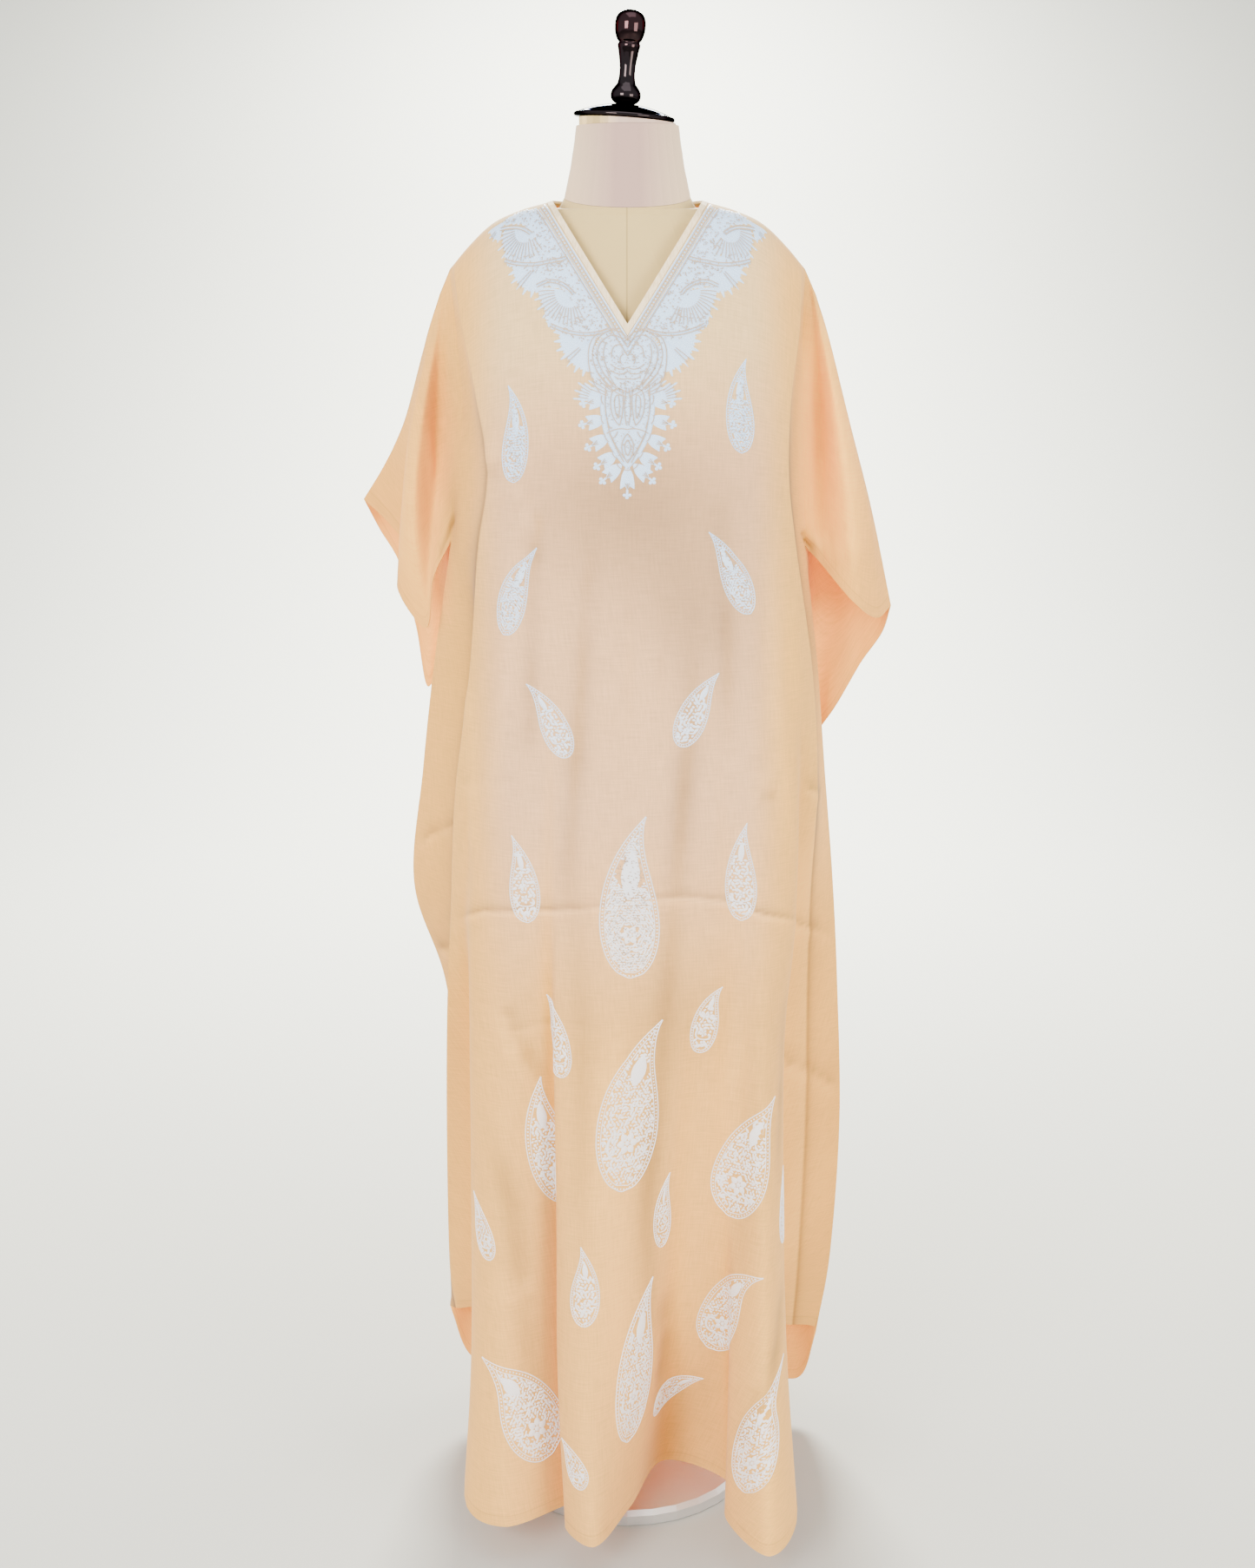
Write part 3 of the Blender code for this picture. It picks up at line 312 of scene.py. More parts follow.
def plug(tree: Tree, node: bpy.types.Node, inputs: dict) -> None:
    """Sets sockets of a node.

    Args:
        tree: the material's node tree.
        node: the node.
        inputs: for each socket by name or number, its value or the output that feeds it.
    """
    for key, value in inputs.items():
        if isinstance(value, Socket):
            tree.links.new(value, node.inputs[key])
        else:
            node.inputs[key].default_value = value


def add(tree: Tree, kind: str, inputs: dict | None = None, stops: Sequence[tuple[float, tuple]] = (),
        **settings) -> bpy.types.Node:
    """Adds one shader node with its settings and links.

    Args:
        tree: the material's node tree.
        kind: the node's class name.
        inputs: for each socket by name or number, its value or the output that feeds it.
        stops: for a colour ramp, the place and linear colour of both ends.
        **settings: attributes of the node.

    Returns:
        The new node.
    """
    node = tree.nodes.new(kind)
    for name, value in settings.items():
        setattr(node, name, value)
    for number, (place, colour) in enumerate(stops):
        node.color_ramp.elements[number].position = place
        node.color_ramp.elements[number].color = colour
    plug(tree, node, inputs or {})
    return node


@dataclass(frozen=True)
class Finish:
    """A real material: its name, main colour and roughness."""

    name: str
    colour: str
    roughness: float

    def start(self) -> tuple[bpy.types.Material, Tree, bpy.types.Node]:
        """Makes the plain material that the finish is built on.

        Returns:
            The material, its node tree and its Principled shader, set to the colour and roughness.
        """
        material = bpy.data.materials.new(self.name)
        material.use_nodes = True
        material.diffuse_color = linear(self.colour)
        tree = material.node_tree
        shader = tree.nodes["Principled BSDF"]
        plug(tree, shader, {"Base Color": linear(self.colour), "Roughness": self.roughness})
        return material, tree, shader

    def build(self) -> bpy.types.Material:
        """The material."""
        return self.start()[0]


@dataclass(frozen=True)
class CrepeCloth(Finish):
    """Viscose crepe, plain woven and piece dyed pale peach.

    Matt and slightly sheer: pink where the form backs it, golden where light comes through, and
    a warm orange painted deep in the folds as their shade. Slubs in warp and weft draw a faint grid.
    """

    upper: str = "#EACE92"
    backed: str = "#E8C08F"
    free: str = "#F2C05E"
    # Warm orange of the painted fold shade, mixed in where the tone's green value marks a hollow
    fold: str = "#F3B74A"
    glow: str = "#FFBE62"
    slub_mm: float = 1.5
    slub_length_mm: float = 26.0
    sheer: float = 0.3
    # Flat heights, in metres, between which the colour goes over to the upper one
    upper_from: Span = (1.20, 1.36)
    # From the cloth's edge: where the doubled hem ends, and both sides of its stitch line
    hem_end_mm: Span = (11.25, 12.0)
    stitch_start_mm: Span = (10.5, 11.4)
    stitch_end_mm: Span = (11.8, 12.7)
    # Brightness of the doubled hem and of the stitch line; 1 is plain cloth
    hem_light: float = 0.955
    stitch_light: float = 0.84
    # What the added slubs of both ways span, and the brightness that they give
    weave_span: Span = (0.6, 1.4)
    weave_light: Span = (0.84, 1.12)

    def slubs(self, tree: Tree, flat: Socket, across: bool) -> Socket:
        """Draws the thick places of the threads that run one way.

        Args:
            tree: the material's node tree.
            flat: the places in the flat cloth.
            across: whether the threads run across.

        Returns:
            A grey value.
        """
        fine, long = 1 / (self.slub_mm * MM), 1 / (self.slub_length_mm * MM)
        scale = (long, fine, 1.0) if across else (fine, long, 1.0)
        mapped = add(tree, "ShaderNodeMapping", {"Vector": flat, "Scale": scale})
        inputs = {"Vector": mapped.outputs[0], "Scale": 1.0, "Detail": 2.0, "Roughness": 0.6}
        return add(tree, "ShaderNodeTexNoise", inputs, noise_dimensions="2D").outputs[0]

    def by_edge(self, tree: Tree, edge: Socket, span_mm: Span, values: Span) -> Socket:
        """Makes a value that changes with the distance from the cloth's edge.

        Args:
            tree: the material's node tree.
            edge: the tone's blue value.
            span_mm: distances between which the value changes.
            values: the values before and after.

        Returns:
            The value.
        """
        near, far = (distance / EDGE_SPAN for distance in span_mm)
        inputs = {0: edge, 1: near, 2: far, 3: values[0], 4: values[1]}
        return add(tree, "ShaderNodeMapRange", inputs).outputs[0]

    def build(self) -> bpy.types.Material:
        """Builds the cloth, coloured by its tone with painted fold shade and painted light and shade, by
        its weave and hem.

        Returns:
            The material.
        """
        material, tree, shader = self.start()
        flat = add(tree, "ShaderNodeUVMap", uv_map="flat").outputs[0]
        tone = add(tree, "ShaderNodeAttribute", attribute_name="tone")
        backed, deep, edge = add(tree, "ShaderNodeSeparateColor", {0: tone.outputs["Color"]}).outputs
        height = add(tree, "ShaderNodeSeparateXYZ", {0: flat}).outputs[1]
        low, high = self.upper_from
        rise = add(tree, "ShaderNodeMapRange", {0: height, 1: low, 2: high},
                   interpolation_type="SMOOTHSTEP").outputs[0]
        over = add(tree, "ShaderNodeMix", {0: rise, 6: linear(self.backed), 7: linear(self.upper)},
                   data_type="RGBA").outputs[2]
        body = add(tree, "ShaderNodeMix", {0: backed, 6: linear(self.free), 7: over},
                   data_type="RGBA").outputs[2]
        # Painted fold shade: warm orange where the tone's green value marks a hollow
        warm = add(tree, "ShaderNodeMix", {0: deep, 6: body, 7: linear(self.fold)},
                   data_type="RGBA").outputs[2]
        weft, warp = self.slubs(tree, flat, True), self.slubs(tree, flat, False)
        weave = add(tree, "ShaderNodeMath", {0: weft, 1: warp}, operation="ADD").outputs[0]
        starts = self.by_edge(tree, edge, self.stitch_start_mm, (0.0, 1.0))
        ends = self.by_edge(tree, edge, self.stitch_end_mm, (1.0, 0.0))
        line = add(tree, "ShaderNodeMath", {0: starts, 1: ends}, operation="MULTIPLY").outputs[0]
        (low, high), (dark, light) = self.weave_span, self.weave_light
        shade = add(tree, "ShaderNodeMapRange", {0: weave, 1: low, 2: high, 3: dark, 4: light})
        dark_line = add(tree, "ShaderNodeMapRange", {0: line, 3: 1.0, 4: self.stitch_light})
        # Painted light and shade of creases, soft shades and fold shadows, carried in the tone's alpha
        pressed = add(tree, "ShaderNodeMath", {0: tone.outputs["Alpha"], 1: TONE_HEADROOM},
                      operation="MULTIPLY")
        value = shade.outputs[0]
        for part in (self.by_edge(tree, edge, self.hem_end_mm, (self.hem_light, 1.0)),
                     dark_line.outputs[0], pressed.outputs[0]):
            value = add(tree, "ShaderNodeMath", {0: value, 1: part}, operation="MULTIPLY").outputs[0]
        colour = add(tree, "ShaderNodeVectorMath", {0: warm, "Scale": value}, operation="SCALE")
        relief = add(tree, "ShaderNodeMath", {0: weave, 1: line}, operation="SUBTRACT").outputs[0]
        bump = add(tree, "ShaderNodeBump", {"Height": relief, "Strength": 0.35, "Distance": 0.4 * MM})
        plug(tree, shader, {"Base Color": colour.outputs[0], "Normal": bump.outputs[0],
                            "Sheen Weight": 0.18, "Sheen Roughness": 0.5})
        through = add(tree, "ShaderNodeBsdfTranslucent", {"Color": linear(self.glow)})
        layers = {0: self.sheer, 1: shader.outputs[0], 2: through.outputs[0]}
        mixed = add(tree, "ShaderNodeMixShader", layers)
        plug(tree, tree.nodes["Material Output"], {"Surface": mixed.outputs[0]})
        return material


@dataclass(frozen=True)
class BiasStrip(Finish):
    """The same crepe cut on the bias and folded double: matt, its threads slanting over the edge."""

    dark: str = "#D0BA92"
    thread_mm: float = 1.4
    slant: float = 0.8

    def build(self) -> bpy.types.Material:
        """Builds the folded strip with its slanting threads.

        Returns:
            The material.
        """
        material, tree, shader = self.start()
        place = add(tree, "ShaderNodeTexCoord").outputs["Object"]
        fine = 1 / (self.thread_mm * MM)
        mapped = add(tree, "ShaderNodeMapping", {"Vector": place, "Rotation": (0.0, self.slant, 0.0),
                                                 "Scale": (fine, fine / 3, fine / 8)})
        inputs = {"Vector": mapped.outputs[0], "Scale": 1.0, "Detail": 2.0}
        threads = add(tree, "ShaderNodeTexNoise", inputs).outputs[0]
        colour = add(tree, "ShaderNodeValToRGB", {"Fac": threads},
                     ((0.3, linear(self.dark)), (0.6, linear(self.colour))))
        bump = add(tree, "ShaderNodeBump", {"Height": threads, "Strength": 0.3, "Distance": 0.3 * MM})
        plug(tree, shader, {"Base Color": colour.outputs[0], "Normal": bump.outputs[0]})
        return material


@dataclass(frozen=True)
class SatinThread(Finish):
    """Rayon embroidery floss laid in satin stitch, off-white with a blue cast.

    The strands lie side by side, so it has a soft silky shine and fine lines along each stitch. The
    blue cast is strongest at the yoke and gone near the hem. Where gap is set, it takes the brown of
    cloth in shade between stitches: painted shade.
    """

    shadow: str = "#9FC0E6"
    lower: str = "#E2DEE0"
    # Brown of the cloth in shade between stitches: painted shade
    gap: str = "#A8937E"
    strand_mm: float = 0.8
    slant: float = 0.6
    # Flat heights, in metres, between which the blue cast sets in
    blue_from: Span = (0.66, 1.2)

    def build(self) -> bpy.types.Material:
        """Builds the floss with the lines of its strands.

        Returns:
            The material.
        """
        material, tree, shader = self.start()
        flat = add(tree, "ShaderNodeUVMap", uv_map="flat").outputs[0]
        fine = 1 / (self.strand_mm * MM)
        mapped = add(tree, "ShaderNodeMapping", {"Vector": flat, "Scale": (fine, fine, fine),
                                                 "Rotation": (0.0, 0.0, self.slant)})
        inputs = {"Vector": mapped.outputs[0], "Scale": 1.0, "Detail": 2.0}
        strands = add(tree, "ShaderNodeTexNoise", inputs, noise_dimensions="2D").outputs[0]
        blue = add(tree, "ShaderNodeValToRGB", {"Fac": strands},
                   ((0.35, linear(self.shadow)), (0.6, linear(self.colour)))).outputs[0]
        height = add(tree, "ShaderNodeSeparateXYZ", {0: flat}).outputs[1]
        low, high = self.blue_from
        rise = add(tree, "ShaderNodeMapRange", {0: height, 1: low, 2: high}).outputs[0]
        colour = add(tree, "ShaderNodeMix", {0: rise, 6: linear(self.lower), 7: blue},
                     data_type="RGBA").outputs[2]
        # Painted shade: where gap is set, the brown of cloth in shade between stitches
        gap = add(tree, "ShaderNodeAttribute", attribute_name="gap").outputs["Fac"]
        colour = add(tree, "ShaderNodeMix", {0: gap, 6: colour, 7: linear(self.gap)},
                     data_type="RGBA").outputs[2]
        bump = add(tree, "ShaderNodeBump", {"Height": strands, "Strength": 0.4, "Distance": 0.3 * MM})
        plug(tree, shader, {"Base Color": colour, "Normal": bump.outputs[0], "Sheen Weight": 0.3})
        return material


@dataclass(frozen=True)
class Jersey(Finish):
    """Cotton jersey stretched over padding: matt, with fine ribs of knit stitches.

    seam_x is where a vertical seam runs, which shows as a thin darker line; side is the colour that
    the cover takes towards both sides.
    """

    dark: str = "#C9B98F"
    rib_mm: float = 1.6
    seam_x: float | None = None
    side: str | None = None
    # Distances in metres: from the middle, where the side colour sets in, and from the seam
    side_from: Span = (0.012, 0.056)
    seam_reach: Span = (0.0003, 0.0011)
    # Clouds in a metre, and how far they go over to the dark colour
    clouds: float = 14.0
    cloud_share: float = 0.22

    def build(self) -> bpy.types.Material:
        """Builds the knit cover with its ribs and seam.

        Returns:
            The material.
        """
        material, tree, shader = self.start()
        place = add(tree, "ShaderNodeTexCoord").outputs["Object"]
        inputs = {"Vector": place, "Scale": 1 / (self.rib_mm * MM) / 20, "Distortion": 1.5, "Detail": 2.0}
        height = add(tree, "ShaderNodeTexWave", inputs, bands_direction="X").outputs["Fac"]
        cloud = add(tree, "ShaderNodeTexNoise", {"Vector": place, "Scale": self.clouds, "Detail": 3.0})
        soft = add(tree, "ShaderNodeMapRange", {0: cloud.outputs[0], 3: 0.0, 4: self.cloud_share})
        mixes = [(soft.outputs[0], self.dark)]
        x = add(tree, "ShaderNodeSeparateXYZ", {0: place}).outputs[0]
        if self.side is not None:
            out = add(tree, "ShaderNodeMath", {0: x}, operation="ABSOLUTE").outputs[0]
            low, high = self.side_from
            share = add(tree, "ShaderNodeMapRange", {0: out, 1: low, 2: high})
            mixes.append((share.outputs[0], self.side))
        if self.seam_x is not None:
            offset = add(tree, "ShaderNodeMath", {0: x, 1: self.seam_x * MM}, operation="SUBTRACT")
            apart = add(tree, "ShaderNodeMath", {0: offset.outputs[0]}, operation="ABSOLUTE").outputs[0]
            low, high = self.seam_reach
            near = add(tree, "ShaderNodeMapRange", {0: apart, 1: low, 2: high, 3: 1.0, 4: 0.0}).outputs[0]
            mixes.append((near, self.dark))
            height = add(tree, "ShaderNodeMath", {0: height, 1: near}, operation="SUBTRACT").outputs[0]
        colour = linear(self.colour)
        for share, other in mixes:
            colour = add(tree, "ShaderNodeMix", {0: share, 6: colour, 7: linear(other)},
                         data_type="RGBA").outputs[2]
        bump = add(tree, "ShaderNodeBump", {"Height": height, "Strength": 0.12, "Distance": 0.4 * MM})
        plug(tree, shader, {"Base Color": colour, "Normal": bump.outputs[0], "Sheen Weight": 0.15})
        return material


@dataclass(frozen=True)
class Lacquer(Finish):
    """Turned beech under black lacquer, polished: near black with sharp lights, and a maroon glow on its
    upper part that is painted sheen.

    It is set as a dark mirror, so that the pale studio glances off its flat top as little as shown.
    """

    # Maroon of the painted sheen towards the top
    glow: str = "#4A1A20"
    edge: str = "#3A3C42"
    # Heights, in metres, between which the painted sheen sets in, and its greatest share
    sheen_from: Span = (1.60, 1.64)
    sheen_share: float = 0.35
    # Clouds in a metre, on each axis
    clouds: Place = (30.0, 30.0, 90.0)

    def build(self) -> bpy.types.Material:
        """Builds the lacquer, with uneven pools over the turning lines in its relief and the maroon painted
        sheen mixed unevenly into the colour towards the top.

        Returns:
            The material.
        """
        material, tree, shader = self.start()
        place = add(tree, "ShaderNodeTexCoord").outputs["Object"]
        mapped = add(tree, "ShaderNodeMapping", {"Vector": place, "Scale": self.clouds})
        inputs = {"Vector": mapped.outputs[0], "Scale": 1.0, "Detail": 3.0}
        pools_and_sheen = add(tree, "ShaderNodeTexNoise", inputs).outputs[0]
        height = add(tree, "ShaderNodeSeparateXYZ", {0: place}).outputs[2]
        low, high = self.sheen_from
        top = add(tree, "ShaderNodeMapRange", {0: height, 1: low, 2: high, 3: 0.0, 4: self.sheen_share})
        # Painted sheen: maroon mixed in unevenly towards the top
        painted_sheen = add(tree, "ShaderNodeMath", {0: pools_and_sheen, 1: top.outputs[0]}, operation="MULTIPLY").outputs[0]
        colour = add(tree, "ShaderNodeMix", {0: painted_sheen, 6: linear(self.colour), 7: linear(self.glow)},
                     data_type="RGBA").outputs[2]
        bump = add(tree, "ShaderNodeBump", {"Height": pools_and_sheen, "Strength": 0.03, "Distance": 1.0 * MM})
        plug(tree, shader, {"Base Color": colour, "Normal": bump.outputs[0], "Metallic": 1.0,
                            "Specular Tint": linear(self.edge)})
        return material


@dataclass(frozen=True)
class Metal(Finish):
    """Sheet or tube metal with a satin surface, brushed along one direction."""

    # Brush lines in a metre, on each axis
    lines: Place = (400.0, 400.0, 6.0)
    # How much smoother and rougher than its roughness the surface gets
    uneven: Span = (0.08, 0.1)

    def build(self) -> bpy.types.Material:
        """Builds the metal with its brush lines.

        Returns:
            The material.
        """
        material, tree, shader = self.start()
        place = add(tree, "ShaderNodeTexCoord").outputs["Object"]
        mapped = add(tree, "ShaderNodeMapping", {"Vector": place, "Scale": self.lines})
        inputs = {"Vector": mapped.outputs[0], "Scale": 1.0, "Detail": 4.0}
        brush = add(tree, "ShaderNodeTexNoise", inputs).outputs[0]
        smoother, rougher = self.uneven
        rough = add(tree, "ShaderNodeMapRange", {0: brush, 3: self.roughness - smoother,
                                                 4: self.roughness + rougher})
        bump = add(tree, "ShaderNodeBump", {"Height": brush, "Strength": 0.08, "Distance": 0.3 * MM})
        plug(tree, shader, {"Roughness": rough.outputs[0], "Normal": bump.outputs[0], "Metallic": 1.0})
        return material


@dataclass(frozen=True)
class CapBand(Finish):
    """Brass strip gilt in cream, which the neck's turned-up jersey covers towards the right."""

    cover: str = "#B79C8C"
    # Across, in metres: where the cover sets in
    cover_from: Span = (-0.030, -0.008)
    bare_metallic: float = 0.5

    def build(self) -> bpy.types.Material:
        """Builds the strip and the cover over it.

        Returns:
            The material.
        """
        material, tree, shader = self.start()
        place = add(tree, "ShaderNodeTexCoord").outputs["Object"]
        x = add(tree, "ShaderNodeSeparateXYZ", {0: place}).outputs[0]
        low, high = self.cover_from
        covered = add(tree, "ShaderNodeMapRange", {0: x, 1: low, 2: high}).outputs[0]
        lines = add(tree, "ShaderNodeTexNoise", {"Vector": place, "Scale": 600.0, "Detail": 2.0})
        colour = add(tree, "ShaderNodeMix", {0: covered, 6: linear(self.colour), 7: linear(self.cover)},
                     data_type="RGBA").outputs[2]
        bare = add(tree, "ShaderNodeMapRange", {0: covered, 3: self.bare_metallic, 4: 0.0})
        inputs = {"Height": lines.outputs[0], "Strength": 0.1, "Distance": 0.3 * MM}
        bump = add(tree, "ShaderNodeBump", inputs)
        plug(tree, shader, {"Base Color": colour, "Metallic": bare.outputs[0], "Normal": bump.outputs[0]})
        return material


@dataclass(frozen=True)
class Paper(Finish):
    """Seamless background paper: matt, with a barely raised tooth."""

    def build(self) -> bpy.types.Material:
        """Builds the paper with its tooth.

        Returns:
            The material.
        """
        material, tree, shader = self.start()
        place = add(tree, "ShaderNodeTexCoord").outputs["Object"]
        tooth = add(tree, "ShaderNodeTexNoise", {"Vector": place, "Scale": 220.0, "Detail": 3.0})
        inputs = {"Height": tooth.outputs[0], "Strength": 0.05, "Distance": 1.0 * MM}
        plug(tree, shader, {"Normal": add(tree, "ShaderNodeBump", inputs).outputs[0]})
        return material


CREPE = CrepeCloth("crepe_woven_piece_dyed", "#EEBD7E", 0.86)
BINDING = BiasStrip("crepe_bias_cut_folded", "#E2D0AE", 0.86)
FLOSS = SatinThread("rayon_floss_satin_stitched", "#C2DCFA", 0.5)
BODY_COVER = Jersey("cotton_jersey_stretched_cream", "#BFA66C", 0.85, dark="#9C8654", seam_x=-0.6)
NECK_COVER = Jersey("cotton_jersey_stretched_fawn", "#A88A80", 0.85, dark="#977A6E", side="#D2B898")
LACQUER = Lacquer("beech_turned_black_lacquered", "#2A2527", 0.05)
BAND = CapBand("brass_strip_cream_gilt", "#C9B078", 0.5)
STEEL = Metal("steel_tube_satin_brushed", "#B9BABA", 0.3)
SPUN_STEEL = Metal("steel_sheet_spun_satin", "#D6D7D7", 0.55, (90.0, 90.0, 500.0))


def spline(knots: Sequence[float], values: np.ndarray, at: float | np.ndarray) -> np.ndarray:
    """Smooth curve through values at knots, read at one place or an array of places.

    Args:
        knots: rising places of the values.
        values: a value or a row of values for each knot.
        at: where the curve is read.

    Returns:
        The value or row at each place.
    """
    knots = np.asarray(knots, float)
    values = np.asarray(values, float)
    spans = np.diff(knots)
    shape = (-1,) + (1,) * (values.ndim - 1)
    slopes = np.diff(values, axis=0) / spans.reshape(shape)
    tangents = np.empty_like(values)
    tangents[0] = slopes[0]
    tangents[-1] = slopes[-1]
    before = spans[:-1].reshape(shape)
    after = spans[1:].reshape(shape)
    tangents[1:-1] = (slopes[:-1] * after + slopes[1:] * before) / (before + after)
    place = np.atleast_1d(np.asarray(at, float))
    index = np.clip(np.searchsorted(knots, place, side="right") - 1, 0, len(knots) - 2)
    span = spans[index]
    t = ((place - knots[index]) / span).reshape(shape)
    span = span.reshape(t.shape)
    result = ((2 * t ** 3 - 3 * t ** 2 + 1) * values[index]
              + (t ** 3 - 2 * t ** 2 + t) * span * tangents[index]
              + (-2 * t ** 3 + 3 * t ** 2) * values[index + 1]
              + (t ** 3 - t ** 2) * span * tangents[index + 1])
    return result[0] if np.ndim(at) == 0 else result


def lengths_along(path: np.ndarray, power: float = 1.0) -> np.ndarray:
    """How far each point lies along a path, with the spans between them raised to a power."""
    spans = np.linalg.norm(np.diff(path, axis=0), axis=1)
    return np.concatenate(([0.0], np.cumsum(spans ** power)))


def read_along(at: float | np.ndarray, knots: np.ndarray, table: np.ndarray) -> np.ndarray:
    """Each column of a table with a row for each knot, read at one place or an array of places."""
    return np.stack([np.interp(at, knots, column) for column in table.T], axis=-1)


def curve_across(points: Sequence, steps: Sequence[int], corners: Iterable[int] = ()) -> np.ndarray:
    """Points of one row: smooth through the fold lines, broken at the lines numbered in corners.

    Args:
        points: the row's points at its fold lines.
        steps: spans between neighbouring lines.
        corners: numbers of the lines where the curve breaks.

    Returns:
        All points of the row.
    """
    points = np.asarray(points, float)
    ends = [0, *sorted(corners), len(points) - 1]
    result = [points[0]]
    for first, last in zip(ends, ends[1:]):
        part = points[first:last + 1]
        knots = lengths_along(part, 0.5)
        places = []
        for index, count in enumerate(steps[first:last]):
            places.extend(np.linspace(knots[index], knots[index + 1], count + 1)[1:])
        result.extend(spline(knots, part, np.array(places)))
    return np.array(result)


def smooth(value: np.ndarray, low: float, high: float) -> np.ndarray:
    """0 below low, 1 above high and an eased rise between."""
    t = np.clip((value - low) / (high - low), 0.0, 1.0)
    return t * t * (3 - 2 * t)


class Chest:
    """The cloth's form over the shoulders, chest and shoulder blades."""

    def __init__(self) -> None:
        """Reads the chest table."""
        table = np.array(CHEST, float)
        self.heights, self.widths, fronts, backs = table[::-1].T
        self.depths = {Layer.FRONT: -fronts, Layer.BACK: backs}
        slope = table[:SHOULDER_ROWS]
        self.slope_x = np.linspace(slope[0, 1], slope[-1, 1], SHOULDER_SAMPLES)
        self.slope_z = spline(slope[:, 1], slope[:, 0], self.slope_x)

    def half_width(self, z: float) -> float:
        """Half width of the cloth at a height.

        Args:
            z: the height, in millimetres.

        Returns:
            The half width.
        """
        if z >= self.slope_z[-1]:
            return float(np.interp(z, self.slope_z[::-1], self.slope_x[::-1]))
        return float(spline(self.heights, self.widths, z))

    def y(self, x: float, z: float, layer: Layer) -> float:
        """Y of a panel at (x, z).

        Args:
            x: across, in millimetres.
            z: height.
            layer: front or back.

        Returns:
            Its y, in millimetres.
        """
        ratio = min(abs(x) / self.half_width(z), 1.0)
        height = min(max(z, self.heights[0]), self.heights[-1])
        rounding = (1.0 - ratio ** CHEST_ROUNDNESS) ** (1.0 / CHEST_ROUNDNESS)
        return float(spline(self.heights, self.depths[layer], height)) * rounding

    def thread_height(self, x: float, row: float) -> float:
        """Height at x of a row above the underarm: such rows run level with the shoulder line."""
        top = float(np.interp(abs(x), self.slope_x, self.slope_z))
        return top + (UNDERARM_Z - top) * row / UNDERARM_ROW


CHEST_FORM = Chest()


def fold_rounding(row: float, outward: float) -> float:
    """How far a layer stands off the middle plane at a row just below the shoulder fold."""
    rest = max(0.0, 1.0 - row / FOLD_ROW)
    return outward * FOLD_RADIUS * math.sqrt(1.0 - rest ** 2) * max(0.0, 1.0 - row)


def arm_point(side: Side, row: float, layer: Layer) -> np.ndarray:
    """Point of an arm line at a row between shoulder and underarm.

    Args:
        side: side of the garment.
        row: section place, from 0 at the shoulder to 11 at the hem.
        layer: front or back.

    Returns:
        The point.
    """
    table = ARM_LINE if layer is Layer.FRONT else BACK_ARM_LINE
    point = spline(range(UNDERARM_ROW + 1), table[side], row)
    point[1] += fold_rounding(row, -1.0 if layer is Layer.FRONT else 1.0)
    return point


def neck_edge_x(row: float) -> float:
    """Half opening of the V neck at a row; 0 from the foot of the V down."""
    return NECK_POINT_X * max(0.0, 1.0 - row / V_ROW)


@dataclass
class Run:
    """An unbroken stretch of one row of cloth.

    Attributes:
        number: number of the row from the shoulder down.
        row: its section place, from 0 at the shoulder to 11 at the hem.
        height: height of the row in the flat cloth.
        column: column of the first point.
        points: the points from left to right.
        across: flat place of each point, from the centre front or back.
        first_vertex: number of its first point among those of the panel.
    """

    number: int
    row: float
    height: float
    column: int
    points: np.ndarray
    across: np.ndarray
    first_vertex: int = 0

    @property
    def part(self) -> slice:
        """Where its points are among those of the panel."""
        return slice(self.first_vertex, self.first_vertex + len(self.points))


